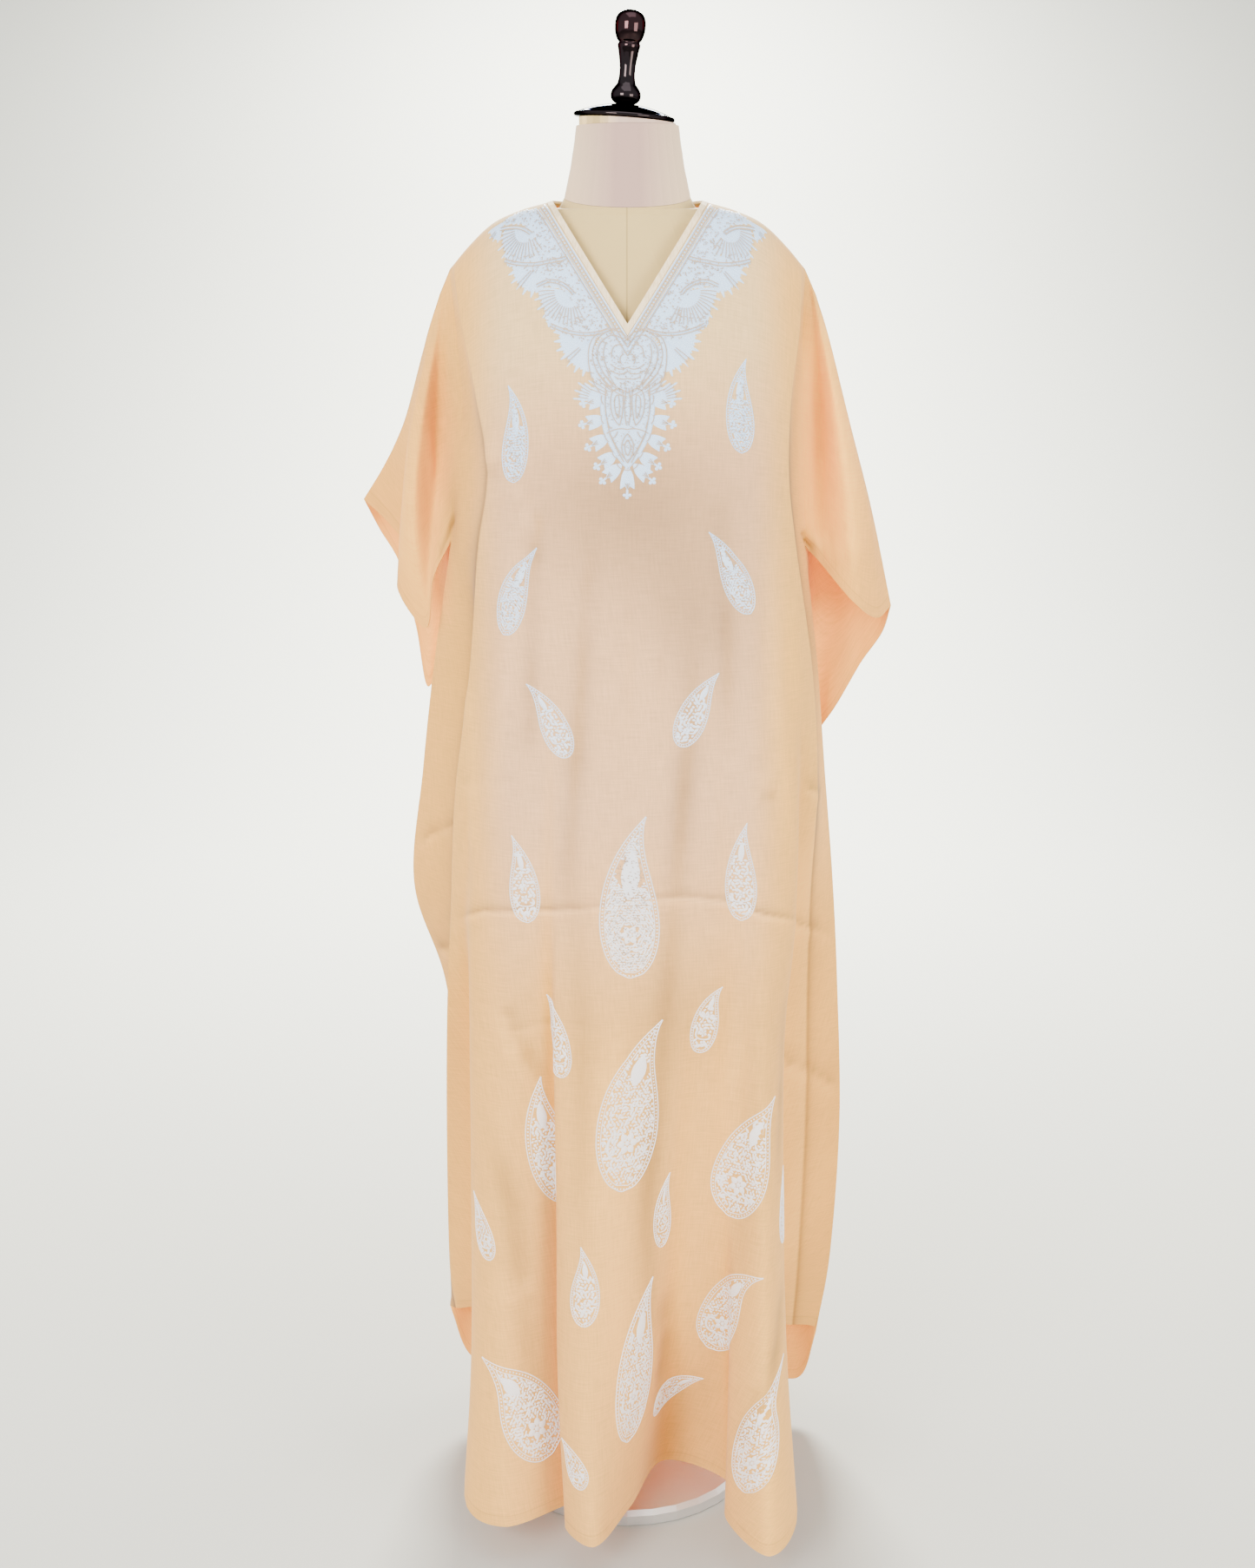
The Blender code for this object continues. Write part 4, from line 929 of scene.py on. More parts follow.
@dataclass
class PanelCut:
    """One panel as fold lines and steps, from which its rows are worked out.

    Attributes:
        layer: front or back.
        lines: the fold lines from left to right.
        steps: spans between neighbouring lines at density 1.
        density: how many times finer than that the panel is laid.
    """

    layer: Layer
    lines: tuple[FoldLine, ...]
    steps: tuple[int, ...]
    density: int

    def __post_init__(self) -> None:
        """Works out the columns."""
        self.body_steps = [self.density * n for n in self.steps]
        self.left_steps = [self.density * n for n in reversed(SLEEVE_STEPS[Side.LEFT, self.layer])]
        self.right_steps = [self.density * n for n in SLEEVE_STEPS[Side.RIGHT, self.layer]]
        self.middle_line = next(i for i, line in enumerate(self.lines) if line.across == 0.0)
        self.left = sum(self.left_steps)
        self.right = self.left + sum(self.body_steps)
        self.total = self.right + sum(self.right_steps)
        self.middle = self.left + sum(self.body_steps[:self.middle_line])
        self.fine_lines, self.fine_steps = self.written_out()

    def written_out(self) -> tuple[list[FoldLine], list[int]]:
        """The lines with those between two lines of the chest's form added, and their steps.

        Returns:
            The lines, and the spans between neighbouring ones.
        """
        lines: list[FoldLine] = []
        steps: list[int] = []
        for line, following, count in zip(self.lines, self.lines[1:], self.body_steps):
            lines.append(line)
            if any(end.across is None or end.is_seam for end in (line, following)):
                steps.append(count)
                continue
            gap = (following.across - line.across) / count
            lines.extend(FoldLine("between", line.across + gap * step) for step in range(1, count))
            steps += [1] * count
        return [*lines, self.lines[-1]], steps

    def upper_point(self, line: FoldLine, row: float, open_side: int) -> np.ndarray:
        """Point of a line at a row above the underarm; open_side picks a side of the V.

        Args:
            line: the fold line.
            row: section place, from 0 at the shoulder to 11 at the hem.
            open_side: side of the V that its foot line belongs to, or 0.

        Returns:
            The point.
        """
        if line.is_seam:
            return arm_point(line.side, row, self.layer)
        if self.layer is Layer.BACK:
            x = line.across * abs(float(arm_point(Side.RIGHT, row, self.layer)[0]))
            neck = min(abs(x) / NECK_POINT_X, 1.0)
            dip = BACK_NECK_DIP * (1.0 - neck ** 2) * (1.0 - row / UNDERARM_ROW)
            z = CHEST_FORM.thread_height(x, row) - dip
            y = 0.0 if row == 0 and abs(x) >= NECK_POINT_X else CHEST_FORM.y(x, z, self.layer)
            return np.array((x, y, z))
        if line.across is None:
            sign = line.side.value
            middle = (arm_point(line.side, row, self.layer)
                      + self.upper_point(FoldLine("fold", float(sign)), row, sign)) / 2
            return middle - np.array((sign * SIDE_DRAW_IN * min(row, 1.0), 0.0, 0.0))
        side = Side.LEFT if line.across < 0 or open_side < 0 and line.across == 0 else Side.RIGHT
        edge = side.value * neck_edge_x(row)
        fold = float(spline(range(UNDERARM_ROW + 1), FOLD_X[side], row))
        x = edge + abs(line.across) * (fold - edge)
        z = CHEST_FORM.thread_height(x, row)
        return np.array((x, 0.0 if row == 0 else CHEST_FORM.y(x, z, self.layer), z))

    def point(self, line: FoldLine, row: float, open_side: int = 0) -> np.ndarray:
        """Point of a line at any row.

        Args:
            line: the fold line.
            row: section place, from 0 at the shoulder to 11 at the hem.
            open_side: side of the V that its foot line belongs to, or 0.

        Returns:
            The point.
        """
        if row < UNDERARM_ROW - 1 or line.is_seam and row <= UNDERARM_ROW:
            return self.upper_point(line, row, open_side)
        if line.is_seam:
            places = [ARM_LINE[line.side][-1], *line.sections()]
            return spline(range(UNDERARM_ROW, HEM_ROW + 1), np.array(places, float), row)
        upper = [self.upper_point(line, r, 0) for r in range(2, UNDERARM_ROW + 1)]
        return spline(range(2, HEM_ROW + 1), np.array(upper + line.sections(), float), row)

    def sleeve_points(self, side: Side, row: float) -> list[np.ndarray]:
        """Points of the sleeve lines at a row, from beside the arm line to the sleeve's edge.

        Args:
            side: side of the garment.
            row: section place, from 0 at the shoulder to 11 at the hem.

        Returns:
            The points.
        """
        lines = SLEEVES[side, self.layer]
        start = np.array(ARM_LINE[side][0], float)
        edge = SLEEVE_EDGE[side]
        result = []
        for index, line in enumerate(lines):
            top = start + (np.array(edge[0]) - start) * (index + 1) / (len(lines) + 1)
            point = spline(range(UNDERARM_ROW + 1), np.array([top, *line], float), row)
            point[1] += fold_rounding(row, -1.0 if self.layer is Layer.FRONT else 1.0)
            result.append(point)
        return [*result, spline(range(UNDERARM_ROW + 1), edge, row)]

    def row_halves(self, row: float) -> list[np.ndarray]:
        """The points of one row, in one run or, beside the V, in two.

        Args:
            row: section place, from 0 at the shoulder to 11 at the hem.

        Returns:
            The points of each run, from left to right.
        """
        on_form = row < UNDERARM_ROW - 1
        lines, steps = (self.fine_lines, self.fine_steps) if on_form else (self.lines, self.body_steps)
        sleeved = row <= UNDERARM_ROW
        left = self.sleeve_points(Side.LEFT, row)[::-1] if sleeved else []
        right = self.sleeve_points(Side.RIGHT, row) if sleeved else []
        lead, tail = (self.left_steps, self.right_steps) if sleeved else ([], [])
        last = len(lines) - 1
        pressed = [i for i, line in enumerate(lines) if line.shadow and 1 <= row]
        if self.layer is Layer.FRONT and row < V_ROW:
            middle = next(i for i, line in enumerate(lines) if line.across == 0.0)
            first = left + [self.point(line, row, -1) for line in lines[:middle + 1]]
            second = [self.point(line, row, 1) for line in lines[middle:]] + right
            return [curve_across(first, [*lead, *steps[:middle]],
                                 (len(left), *(len(left) + i for i in pressed if i < middle))),
                    curve_across(second, [*steps[middle:], *tail],
                                 (last - middle, *(i - middle for i in pressed if i > middle)))]
        corners = [len(left), len(left) + last] if left else []
        corners += [len(left) + i for i in pressed]
        if row < 1:
            corners += [len(left) + i for i, line in enumerate(lines)
                        if line.across in (-NECK_ACROSS, NECK_ACROSS)]
        whole = left + [self.point(line, row) for line in lines] + right
        return [curve_across(whole, [*lead, *steps, *tail], corners)]

    def flat_height(self, row: float) -> float:
        """Height of a row in the flat cloth, taken at the centre.

        Args:
            row: section place, from 0 at the shoulder to 11 at the hem.

        Returns:
            The height, in millimetres.
        """
        if row <= UNDERARM_ROW:
            return NECK_POINT_Z + (UNDERARM_Z - NECK_POINT_Z) * row / UNDERARM_ROW
        return float(np.interp(row, range(UNDERARM_ROW, HEM_ROW + 1), (UNDERARM_Z, *SECTION_HEIGHTS)))

    def runs(self, rows: Sequence[float]) -> list[Run]:
        """All runs of the panel, from the shoulder down.

        Args:
            rows: section places of the rows.

        Returns:
            The runs.
        """
        result = []
        for number, row in enumerate(rows):
            halves = self.row_halves(row)
            column = 0 if row <= UNDERARM_ROW else self.left
            for half, points in enumerate(halves):
                along = lengths_along(points)
                if len(halves) == 1:
                    across = along - along[self.middle - column]
                else:
                    across = along - along[-1] - neck_edge_x(row) if half == 0 else along + neck_edge_x(row)
                result.append(Run(number, row, self.flat_height(row), column, points, across))
                column += len(points) - 1
        return result


@dataclass(frozen=True)
class Crease:
    """A pressed line or soft fold, placed on the flat cloth.

    Attributes:
        path: flat places along it, in millimetres.
        depth: how far it stands out or sinks in, in millimetres.
        width: how wide its slopes are, in millimetres.
        crest: ridge or trough.
        sharp: whether it comes to an edge, as a pressed line does.
    """

    # Share of its length over which each end fades, and the two waves that make its depth uneven:
    # size, and radians along its length
    FADE_SHARE = 0.22
    UNEVEN = ((0.3, 11.0), (0.15, 29.0))

    path: tuple[Point, ...]
    depth: float
    width: float
    crest: Crest = Crest.RIDGE
    sharp: bool = False

    def offsets(self, flat: np.ndarray) -> np.ndarray:
        """How far each flat place moves out of the cloth.

        Args:
            flat: flat places, in millimetres.

        Returns:
            A distance for each place.
        """
        nodes = np.array(self.path, float)
        starts, spans = nodes[:-1], np.diff(nodes, axis=0)
        lengths = np.linalg.norm(spans, axis=1)
        total = lengths.sum()
        before = np.concatenate(([0.0], np.cumsum(lengths)[:-1]))
        nearest = np.full(len(flat), np.inf)
        along = np.zeros(len(flat))
        for start, span, length, done in zip(starts, spans, lengths, before):
            t = np.clip((flat - start) @ span / length ** 2, 0.0, 1.0)
            distance = np.linalg.norm(flat - start - t[:, None] * span, axis=1)
            closer = distance < nearest
            nearest[closer] = distance[closer]
            along[closer] = (done + t * length)[closer]
        share = along / total
        fade = smooth(share, 0.0, self.FADE_SHARE) * smooth(1.0 - share, 0.0, self.FADE_SHARE)
        (long_size, long_phase), (short_size, short_phase) = self.UNEVEN
        uneven = (1.0 + long_size * np.sin(share * long_phase + total)
                  + short_size * np.sin(share * short_phase + self.width))
        reach = nearest / self.width
        profile = np.exp(-reach) if self.sharp else np.exp(-reach ** 2)
        return self.crest.value * self.depth * profile * fade * uneven

    def painted(self, flat: np.ndarray) -> np.ndarray:
        """The depth that its painted light and shade stand for; a pressed line has a painted shaded side
        above it.

        Args:
            flat: flat places, in millimetres.

        Returns:
            A depth for each place.
        """
        if not self.sharp:
            return self.offsets(flat) * SOFT_PAINT
        return self.offsets(flat) - DARK_SIDE * self.offsets(flat - (0.0, 1.4 * self.width))


@dataclass(frozen=True)
class Shade:
    """A soft darker or lighter place of a panel, as light and what lies behind the cloth make it.

    Attributes:
        centre: its flat place.
        reach: how far it spreads across and upright.
        light: brightness at its centre; 1 is plain cloth.
    """

    centre: Point
    reach: Point
    light: float

    def values(self, flat: np.ndarray) -> np.ndarray:
        """The brightness at each flat place."""
        apart = (flat - self.centre) / self.reach
        return 1.0 + (self.light - 1.0) * np.exp(-(apart ** 2).sum(axis=1))


# How much of a soft fold's depth is painted as light and shade, how dark a pressed line's painted shaded
# side is, how far painted shade in troughs and painted highlight on ridges go, how wide the painted dark
# line along a pressed fold is as seen from the front, and how far its painted shadow reaches along the
# cloth
SOFT_PAINT = 0.38
DARK_SIDE = 0.7
TROUGH_PAINTED_SHADE = 0.5
RIDGE_PAINTED_HIGHLIGHT = 0.12
LINE_REACH = 3.0
SHADOW_DEPTH = 70.0
FRONT_SHADES = (
    # Painted shade: darker over the form's bust, where its cover also shows through, and along flutes,
    # troughs and the left armpit; painted light in a few places
    Shade((5, 1165), (105, 80), 0.62),
    Shade((60, 1060), (60, 70), 0.72),
    Shade((10, 620), (120, 60), 0.84),
    Shade((82, 120), (46, 70), 0.8),
    Shade((-80, 560), (12, 200), 0.8),
    Shade((-40, 300), (16, 220), 1.15),
    Shade((-150, 480), (26, 180), 0.88),
    Shade((120, 420), (22, 170), 0.86),
    Shade((-238, 1150), (14, 50), 0.72),
    # Light that comes through the sleeves' troughs
    Shade((262, 1270), (26, 120), 1.5),
    Shade((300, 1240), (40, 100), 1.3),
    Shade((-330, 1180), (50, 110), 1.2),
    # Side strips at the right, bright against the wall
    Shade((285, 750), (50, 150), 1.22),
    Shade((370, 500), (60, 140), 1.14),
    Shade((460, 290), (60, 120), 1.16),
)
R, T = Crest.RIDGE, Crest.TROUGH
FRONT_CREASES = (
    # Pressed across the whole front below the hip, and fainter ones
    Crease(((-290, 690), (-181, 731), (-102, 738), (-45, 745), (-14, 752), (38, 752), (81, 745), (114, 731),
            (178, 710), (230, 690)), 2.2, 4.0, R, True),
    Crease(((-230, 853), (-190, 866), (-140, 870)), 0.8, 5.0, R, True),
    Crease(((-200, 600), (-156, 602), (-110, 608), (-40, 610)), 0.8, 4.0, R, True),
    Crease(((112, 870), (135, 877), (160, 862)), 1.6, 6.0, R),
    Crease(((120, 861), (146, 862)), 1.2, 5.0, T),
    # Side strips left and right of the front folds
    Crease(((-372, 752), (-343, 773), (-290, 795), (-240, 808)), 2.0, 6.0, R, True),
    Crease(((-438, 612), (-350, 640), (-290, 662)), 2.2, 7.0, R, True),
    Crease(((-430, 600), (-350, 625), (-296, 646)), 1.6, 9.0, T),
    Crease(((205, 706), (262, 678), (331, 650), (372, 630)), 1.8, 6.0, R, True),
    Crease(((205, 850), (258, 829), (300, 822)), 1.4, 6.0, R, True),
    Crease(((250, 520), (389, 465), (453, 427)), 2.0, 7.0, R, True),
    Crease(((330, 270), (380, 292), (430, 296)), 1.6, 7.0, R, True),
    # Soft upright folds
    Crease(((64, 1075), (42, 883), (8, 595), (0, 391), (12, 180)), 1.8, 13.0, T),
    Crease(((-30, 1150), (-52, 1040), (-65, 960), (-86, 787), (-92, 700)), 1.3, 11.0, T),
    Crease(((-27, 760), (-51, 502), (-63, 309), (-58, 160)), 1.6, 17.0, R),
    Crease(((92, 700), (87, 530), (99, 364), (104, 250)), 1.5, 12.0, R),
    Crease(((-110, 1180), (-118, 1147), (-143, 1007), (-167, 877), (-176, 800)), 1.6, 11.0, R),
    Crease(((-87, 1170), (-100, 1090), (-113, 1007), (-126, 877)), 1.1, 9.0, T),
    Crease(((162, 1140), (154, 1040), (148, 967), (156, 870), (160, 780)), 1.7, 11.0, R),
    Crease(((96, 1190), (100, 1100), (92, 1000), (84, 900)), 1.0, 12.0, T),
    Crease(((16, 1150), (14, 1060), (2, 960), (-4, 860)), 0.9, 12.0, R),
    Crease(((-152, 1240), (-138, 1205), (-116, 1170), (-96, 1120)), 2.4, 9.0, R),
    Crease(((-150, 1222), (-128, 1186), (-104, 1148)), 1.8, 9.0, T),
    Crease(((-205, 980), (-196, 860), (-204, 760)), 1.6, 10.0, R),
    # Drags from the pleat and the side lobes
    Crease(((-186, 640), (-172, 590), (-156, 540), (-150, 465)), 2.0, 11.0, R),
    Crease(((-170, 640), (-158, 590), (-140, 530)), 1.4, 10.0, T),
    Crease(((-262, 300), (-230, 306), (-186, 320)), 1.2, 8.0, R),
    Crease(((-206, 520), (-202, 400), (-208, 250), (-214, 120)), 1.5, 14.0, T),
    Crease(((30, 300), (44, 220), (48, 130)), 1.8, 14.0, T),
    Crease(((160, 640), (168, 520), (172, 400)), 1.4, 12.0, T),
    Crease(((205, 330), (216, 230), (222, 120)), 1.6, 14.0, T),
    # Puckers at the underarms and pulls along the sleeves
    Crease(((244, 1136), (262, 1120), (282, 1114)), 3.2, 6.0, T),
    Crease(((240, 1150), (262, 1133), (290, 1130)), 2.4, 6.0, R),
    Crease(((262, 1124), (310, 1150), (352, 1190)), 2.2, 12.0, R),
    Crease(((-232, 1150), (-252, 1130), (-276, 1122)), 3.0, 6.0, T),
    Crease(((-300, 1300), (-282, 1215), (-262, 1150)), 2.2, 9.0, R),
    Crease(((300, 1330), (318, 1240), (330, 1160)), 2.0, 16.0, R),
)
BACK_CREASES = (
    Crease(((-300, 700), (-180, 742), (-60, 736), (40, 748), (170, 738), (290, 700)), 2.0, 5.0, R, True),
    Crease(((-160, 870), (-40, 862), (80, 874), (190, 866)), 1.0, 5.0, R, True),
    Crease(((-120, 598), (0, 606), (110, 596)), 1.0, 5.0, R, True),
    Crease(((-190, 430), (-60, 422), (80, 436), (200, 424)), 1.4, 5.0, R, True),
    Crease(((0, 1400), (2, 1200), (-3, 980), (4, 760), (0, 520), (4, 260)), 1.0, 6.0, R, True),
    Crease(((-70, 1160), (-92, 1000), (-84, 820), (-96, 620)), 1.8, 13.0, T),
    Crease(((64, 1120), (76, 960), (70, 780), (82, 560)), 1.8, 14.0, R),
    Crease(((130, 1200), (150, 1040), (146, 880)), 2.2, 14.0, T),
    Crease(((-140, 1220), (-160, 1060), (-152, 900)), 2.4, 13.0, R),
    Crease(((-30, 520), (-22, 360), (-30, 180)), 1.8, 15.0, T),
    Crease(((150, 520), (160, 340), (150, 180)), 2.0, 16.0, R),
    Crease(((-180, 560), (-188, 380), (-176, 200)), 2.0, 15.0, R),
    Crease(((-240, 1290), (-200, 1330), (-120, 1350)), 2.0, 12.0, T),
    Crease(((240, 1280), (206, 1320), (130, 1344)), 2.2, 12.0, T),
    Crease(((240, 1150), (262, 1136), (300, 1128)), 2.6, 8.0, T),
    Crease(((-236, 1160), (-262, 1140), (-300, 1134)), 2.6, 8.0, T),
    Crease(((250, 660), (300, 640), (340, 646)), 1.8, 7.0, R, True),
    Crease(((-330, 650), (-290, 668), (-240, 660)), 1.8, 7.0, R, True),
)


class ClothSheet:
    """A panel of cloth: its outer face as points and quads, its creases, tones and thin wall."""

    # Stretches in which creases fade at seams and neck, and in which the form backs the cloth
    SEAM_FADE = 18.0
    NECK_FADE = 30.0
    FORM_SIDE = (120.0, 176.0)
    FORM_FOOT = (560.0, 860.0)
    # Least share of backing below the form's foot
    FOOT_SHARE = 0.15
    # How far to both sides a hollow is looked for, and how deep a full one is, for the painted fold shade
    HOLLOWS = ((14.0, 6.0), (34.0, 46.0))
    BACK_HOLLOW_SHARE = 0.4
    HOLLOW_FADE = (20.0, 70.0)
    # Rows over which a pressed fold's painted shadow sets in and widens
    SHADOW_START = (1.4, 3.0)
    SHADOW_WIDENS = (3.2, 5.5)
    # How much light the painted shadow and the painted dark line along the fold take, and how much warm
    # painted fold shade strip and shadow get
    SHADOW_DARK = 0.42
    LINE_DARK = 0.84
    STRIP_WARMTH = 0.35
    SHADOW_WARMTH = 0.8
    TONE_FLOOR = 0.1
    # How much thicker the doubled hem is
    HEM_EXTRA = 0.6

    def __init__(self, cut: PanelCut, rows: Sequence[float], creases: Sequence[Crease],
                 shades: Sequence[Shade] = ()) -> None:
        """Lays the panel and presses its creases in.

        Args:
            cut: the panel's fold lines.
            rows: section places from the shoulder to the hem.
            creases: the panel's creases.
            shades: its soft places of painted shade and painted light.
        """
        self.cut = cut
        self.shades = shades
        self.rows = list(rows)
        self.outward = -1.0 if cut.layer is Layer.FRONT else 1.0
        self.runs = cut.runs(rows)
        self.ids: dict[tuple[int, int, bool], int] = {}
        count = 0
        for run in self.runs:
            run.first_vertex = count
            right = cut.layer is Layer.FRONT and run.row < V_ROW and run.column >= cut.middle
            for index in range(len(run.points)):
                self.ids[run.number, run.column + index, right] = count + index
            count += len(run.points)
        self.points = np.concatenate([run.points for run in self.runs])
        self.flat = np.concatenate([np.column_stack((run.across, np.full(len(run.across), run.height)))
                                    for run in self.runs])
        self.faces = self.make_faces()
        normals = self.normals()
        self.crease(creases, normals)
        self.tone = self.tones(normals)
        self.edge_normals = self.normals()
        self.part_seams()

    def vertex(self, number: int, column: int, right: bool) -> int | None:
        """Vertex at a row and column; right picks the right half of a row beside the V."""
        split = self.cut.layer is Layer.FRONT and self.rows[number] < V_ROW
        return self.ids.get((number, column, right and split))

    def make_faces(self) -> np.ndarray:
        """Quads between neighbouring rows and columns.

        Returns:
            Four vertices for each quad.
        """
        faces = []
        for number in range(len(self.rows) - 1):
            for column in range(self.cut.total):
                right = column >= self.cut.middle
                corners = [self.vertex(number + down, column + along, right)
                           for down, along in ((0, 0), (0, 1), (1, 1), (1, 0))]
                if None not in corners:
                    faces.append(corners)
        return np.array(faces)

    def normals(self) -> np.ndarray:
        """Unit normals at the points, out of the garment.

        Returns:
            A normal for each point.
        """
        quads = self.points[self.faces]
        normal = np.cross(quads[:, 2] - quads[:, 0], quads[:, 3] - quads[:, 1])
        result = np.zeros_like(self.points)
        for corner in range(4):
            np.add.at(result, self.faces[:, corner], normal)
        if np.sign(normal[:, 1].sum()) != np.sign(self.outward):
            result = -result
            self.faces = self.faces[:, ::-1]
        return result / np.linalg.norm(result, axis=1)[:, None]

    def crease(self, creases: Sequence[Crease], normals: np.ndarray) -> None:
        """Moves the points in or out, fading to nothing at seams and at the neck.

        Args:
            creases: the panel's creases.
            normals: unit normal at each point.
        """
        offsets = sum(crease.offsets(self.flat) for crease in creases)
        self.pressed = sum(crease.painted(self.flat) for crease in creases)
        fade = np.ones(len(self.points))
        for run in self.runs:
            ends = np.minimum(run.across - run.across[0], run.across[-1] - run.across)
            fade[run.part] = smooth(ends, 0.0, self.SEAM_FADE)
        fade *= smooth(NECK_POINT_Z - self.flat[:, 1], 0.0, self.NECK_FADE)
        self.points = self.points + normals * (offsets * fade)[:, None]

    def tones(self, normals: np.ndarray) -> np.ndarray:
        """Weights for the cloth's colour: backed by the form, painted fold shade deep in a fold, near an
        edge, and painted light and shade.

        Args:
            normals: unit normal at each point before the creases.

        Returns:
            Four values for each point.
        """
        tone = np.zeros((len(self.points), 4))
        tone[:, 3] = 1.0
        x, z = np.abs(self.points[:, 0]), self.points[:, 2]
        above = self.FOOT_SHARE + (1.0 - self.FOOT_SHARE) * smooth(z, *self.FORM_FOOT)
        tone[:, 0] = (1.0 - smooth(x, *self.FORM_SIDE)) * above
        # Green: painted fold shade, as strong as the cloth is hollow there
        for run in self.runs:
            part = run.part
            points = self.points[part]
            depth = np.zeros(len(points))
            for reach, full in self.HOLLOWS:
                sides = [read_along(run.across + shift, run.across, points) for shift in (-reach, reach)]
                hollow = np.einsum("ij,ij->i", (sides[0] + sides[1]) / 2 - points, normals[part])
                depth = np.maximum(depth, np.clip(hollow / full, 0.0, 1.0))
            share = 1.0 if self.cut.layer is Layer.FRONT else self.BACK_HOLLOW_SHARE
            tone[part, 1] = share * depth * smooth(NECK_POINT_Z - run.height, *self.HOLLOW_FADE)
        tone[:, 2] = np.clip(self.edge_distance() / EDGE_SPAN, 0.0, 1.0)
        # Alpha: painted shade in troughs and painted highlight on ridges, then the painted shades and fold
        # shadows
        tone[:, 3] = np.where(self.pressed < 0.0, np.exp(TROUGH_PAINTED_SHADE * self.pressed),
                              1.0 + RIDGE_PAINTED_HIGHLIGHT * np.minimum(self.pressed, 2.0))
        for shade in self.shades:
            tone[:, 3] *= shade.values(self.flat)
        self.shade_folds(tone)
        tone[:, 3] = np.clip(tone[:, 3] / TONE_HEADROOM, self.TONE_FLOOR, 1.0)
        return tone

    def shade_folds(self, tone: np.ndarray) -> None:
        """Paints a shadow and a dark line on the cloth that shows beyond each pressed fold, and the warm
        fold shade over the whole strip.

        Args:
            tone: the four values of each point, which are changed.
        """
        ends = np.concatenate(([0], np.cumsum(self.cut.body_steps))) + self.cut.left
        for line, column in zip(self.cut.lines, ends):
            for run in self.runs:
                place = int(column) - run.column
                if not line.shadow or run.row < 1 or not 0 <= place < len(run.points):
                    continue
                part = run.part
                sign = line.side.value
                away = (run.across - run.across[place]) * sign
                beyond = ((away > 0.5) * np.exp(-(away / SHADOW_DEPTH) ** 2)
                          * smooth(run.row, *self.SHADOW_START))
                seen = np.maximum((run.points[:, 0] - run.points[place, 0]) * sign, 0.0)
                reach = LINE_REACH + (line.shadow - LINE_REACH) * smooth(run.row, *self.SHADOW_WIDENS)
                near = np.exp(-seen / reach) * beyond
                edge = np.exp(-seen / LINE_REACH) * beyond
                tone[part, 3] *= (1.0 - self.SHADOW_DARK * near) * (1.0 - self.LINE_DARK * edge)
                warmth = np.maximum(self.STRIP_WARMTH * (away > 0.5), self.SHADOW_WARMTH * near)
                tone[part, 1] = np.maximum(tone[part, 1], warmth)

    def edge_distance(self) -> np.ndarray:
        """How far each point is from the hem or cuff below it, along the cloth.

        Returns:
            A distance for each point.
        """
        distance = np.zeros(len(self.points))
        for (number, column, right), vertex in sorted(self.ids.items(), reverse=True):
            below = self.vertex(number + 1, column, right) if number + 1 < len(self.rows) else None
            if below is not None:
                step = self.points[vertex] - self.points[below]
                distance[vertex] = distance[below] + np.linalg.norm(step)
        return distance

    def part_seams(self) -> None:
        """Sets the two panels apart at shoulder, sleeve tops and side seams, with square edges."""
        cut = self.cut
        under = self.rows.index(UNDERARM_ROW)
        for column, columns, right in ((0, range(cut.middle + 1), False),
                                       (cut.total, range(cut.total, cut.middle - 1, -1), True)):
            run = [self.vertex(number, column, right) for number in range(under, 0, -1)]
            top = [self.vertex(0, place, right) for place in columns]
            run += [vertex for vertex in top if abs(self.points[vertex][0]) > NECK_POINT_X - 0.01]
            self.part_seam(run, np.array((0.0, 0.0, 1.0)))
        for sign, column in ((-1.0, cut.left), (1.0, cut.right)):
            run = [self.vertex(number, column, sign > 0) for number in range(under, len(self.rows))]
            self.part_seam(run, np.array((sign, 0.0, 0.0)))
            aside = np.array((0.0, self.outward, 0.0))
            self.points[run[0]] += aside * CLOTH_THICKNESS
            self.edge_normals[run[0]] = aside

    def part_seam(self, run: list[int], outward: np.ndarray) -> None:
        """Sets one seam run's wall direction and its share of the gap.

        Args:
            run: vertices along the seam.
            outward: direction out of the garment.
        """
        line = self.points[run].copy()
        tangents = np.gradient(line, axis=0)
        tangents /= np.linalg.norm(tangents, axis=1)[:, None]
        wall = outward - (tangents @ outward)[:, None] * tangents
        wall /= np.linalg.norm(wall, axis=1)[:, None]
        aside = np.cross(tangents, wall)
        aside *= np.where(aside[:, 1] * self.outward > 0, 1.0, -1.0)[:, None]
        self.points[run] = line + aside * SEAM_GAP / 2
        self.edge_normals[run] = wall

    def boundary(self) -> list[tuple[int, int]]:
        """Directed edges used by one face only."""
        used = {(int(a), int(b)) for face in self.faces for a, b in zip(face, np.roll(face, -1))}
        return [edge for edge in used if (edge[1], edge[0]) not in used]

    def build(self, name: str, material: bpy.types.Material) -> bpy.types.Object:
        """The closed thin cloth with its flat map and tones.

        Args:
            name: the new piece's name.
            material: its material.

        Returns:
            The new object.
        """
        count = len(self.points)
        hem = 1.0 - smooth(self.tone[:, 2] * EDGE_SPAN, HEM_DEPTH - 1.0, HEM_DEPTH + 1.0)
        thickness = CLOTH_THICKNESS * (1.0 + self.HEM_EXTRA * hem)
        inner = self.points - self.edge_normals * thickness[:, None]
        faces = [list(map(int, face)) for face in self.faces]
        faces += [[v + count for v in reversed(face)] for face in faces]
        faces += [[b, a, a + count, b + count] for a, b in self.boundary()]
        item = new_object(name, np.concatenate((self.points, inner)), faces, material)
        set_flat(item.data, np.tile(self.flat, (2, 1)))
        colours = item.data.color_attributes.new("tone", "FLOAT_COLOR", "POINT")
        colours.data.foreach_set("color", np.tile(self.tone, (2, 1)).ravel())
        return item

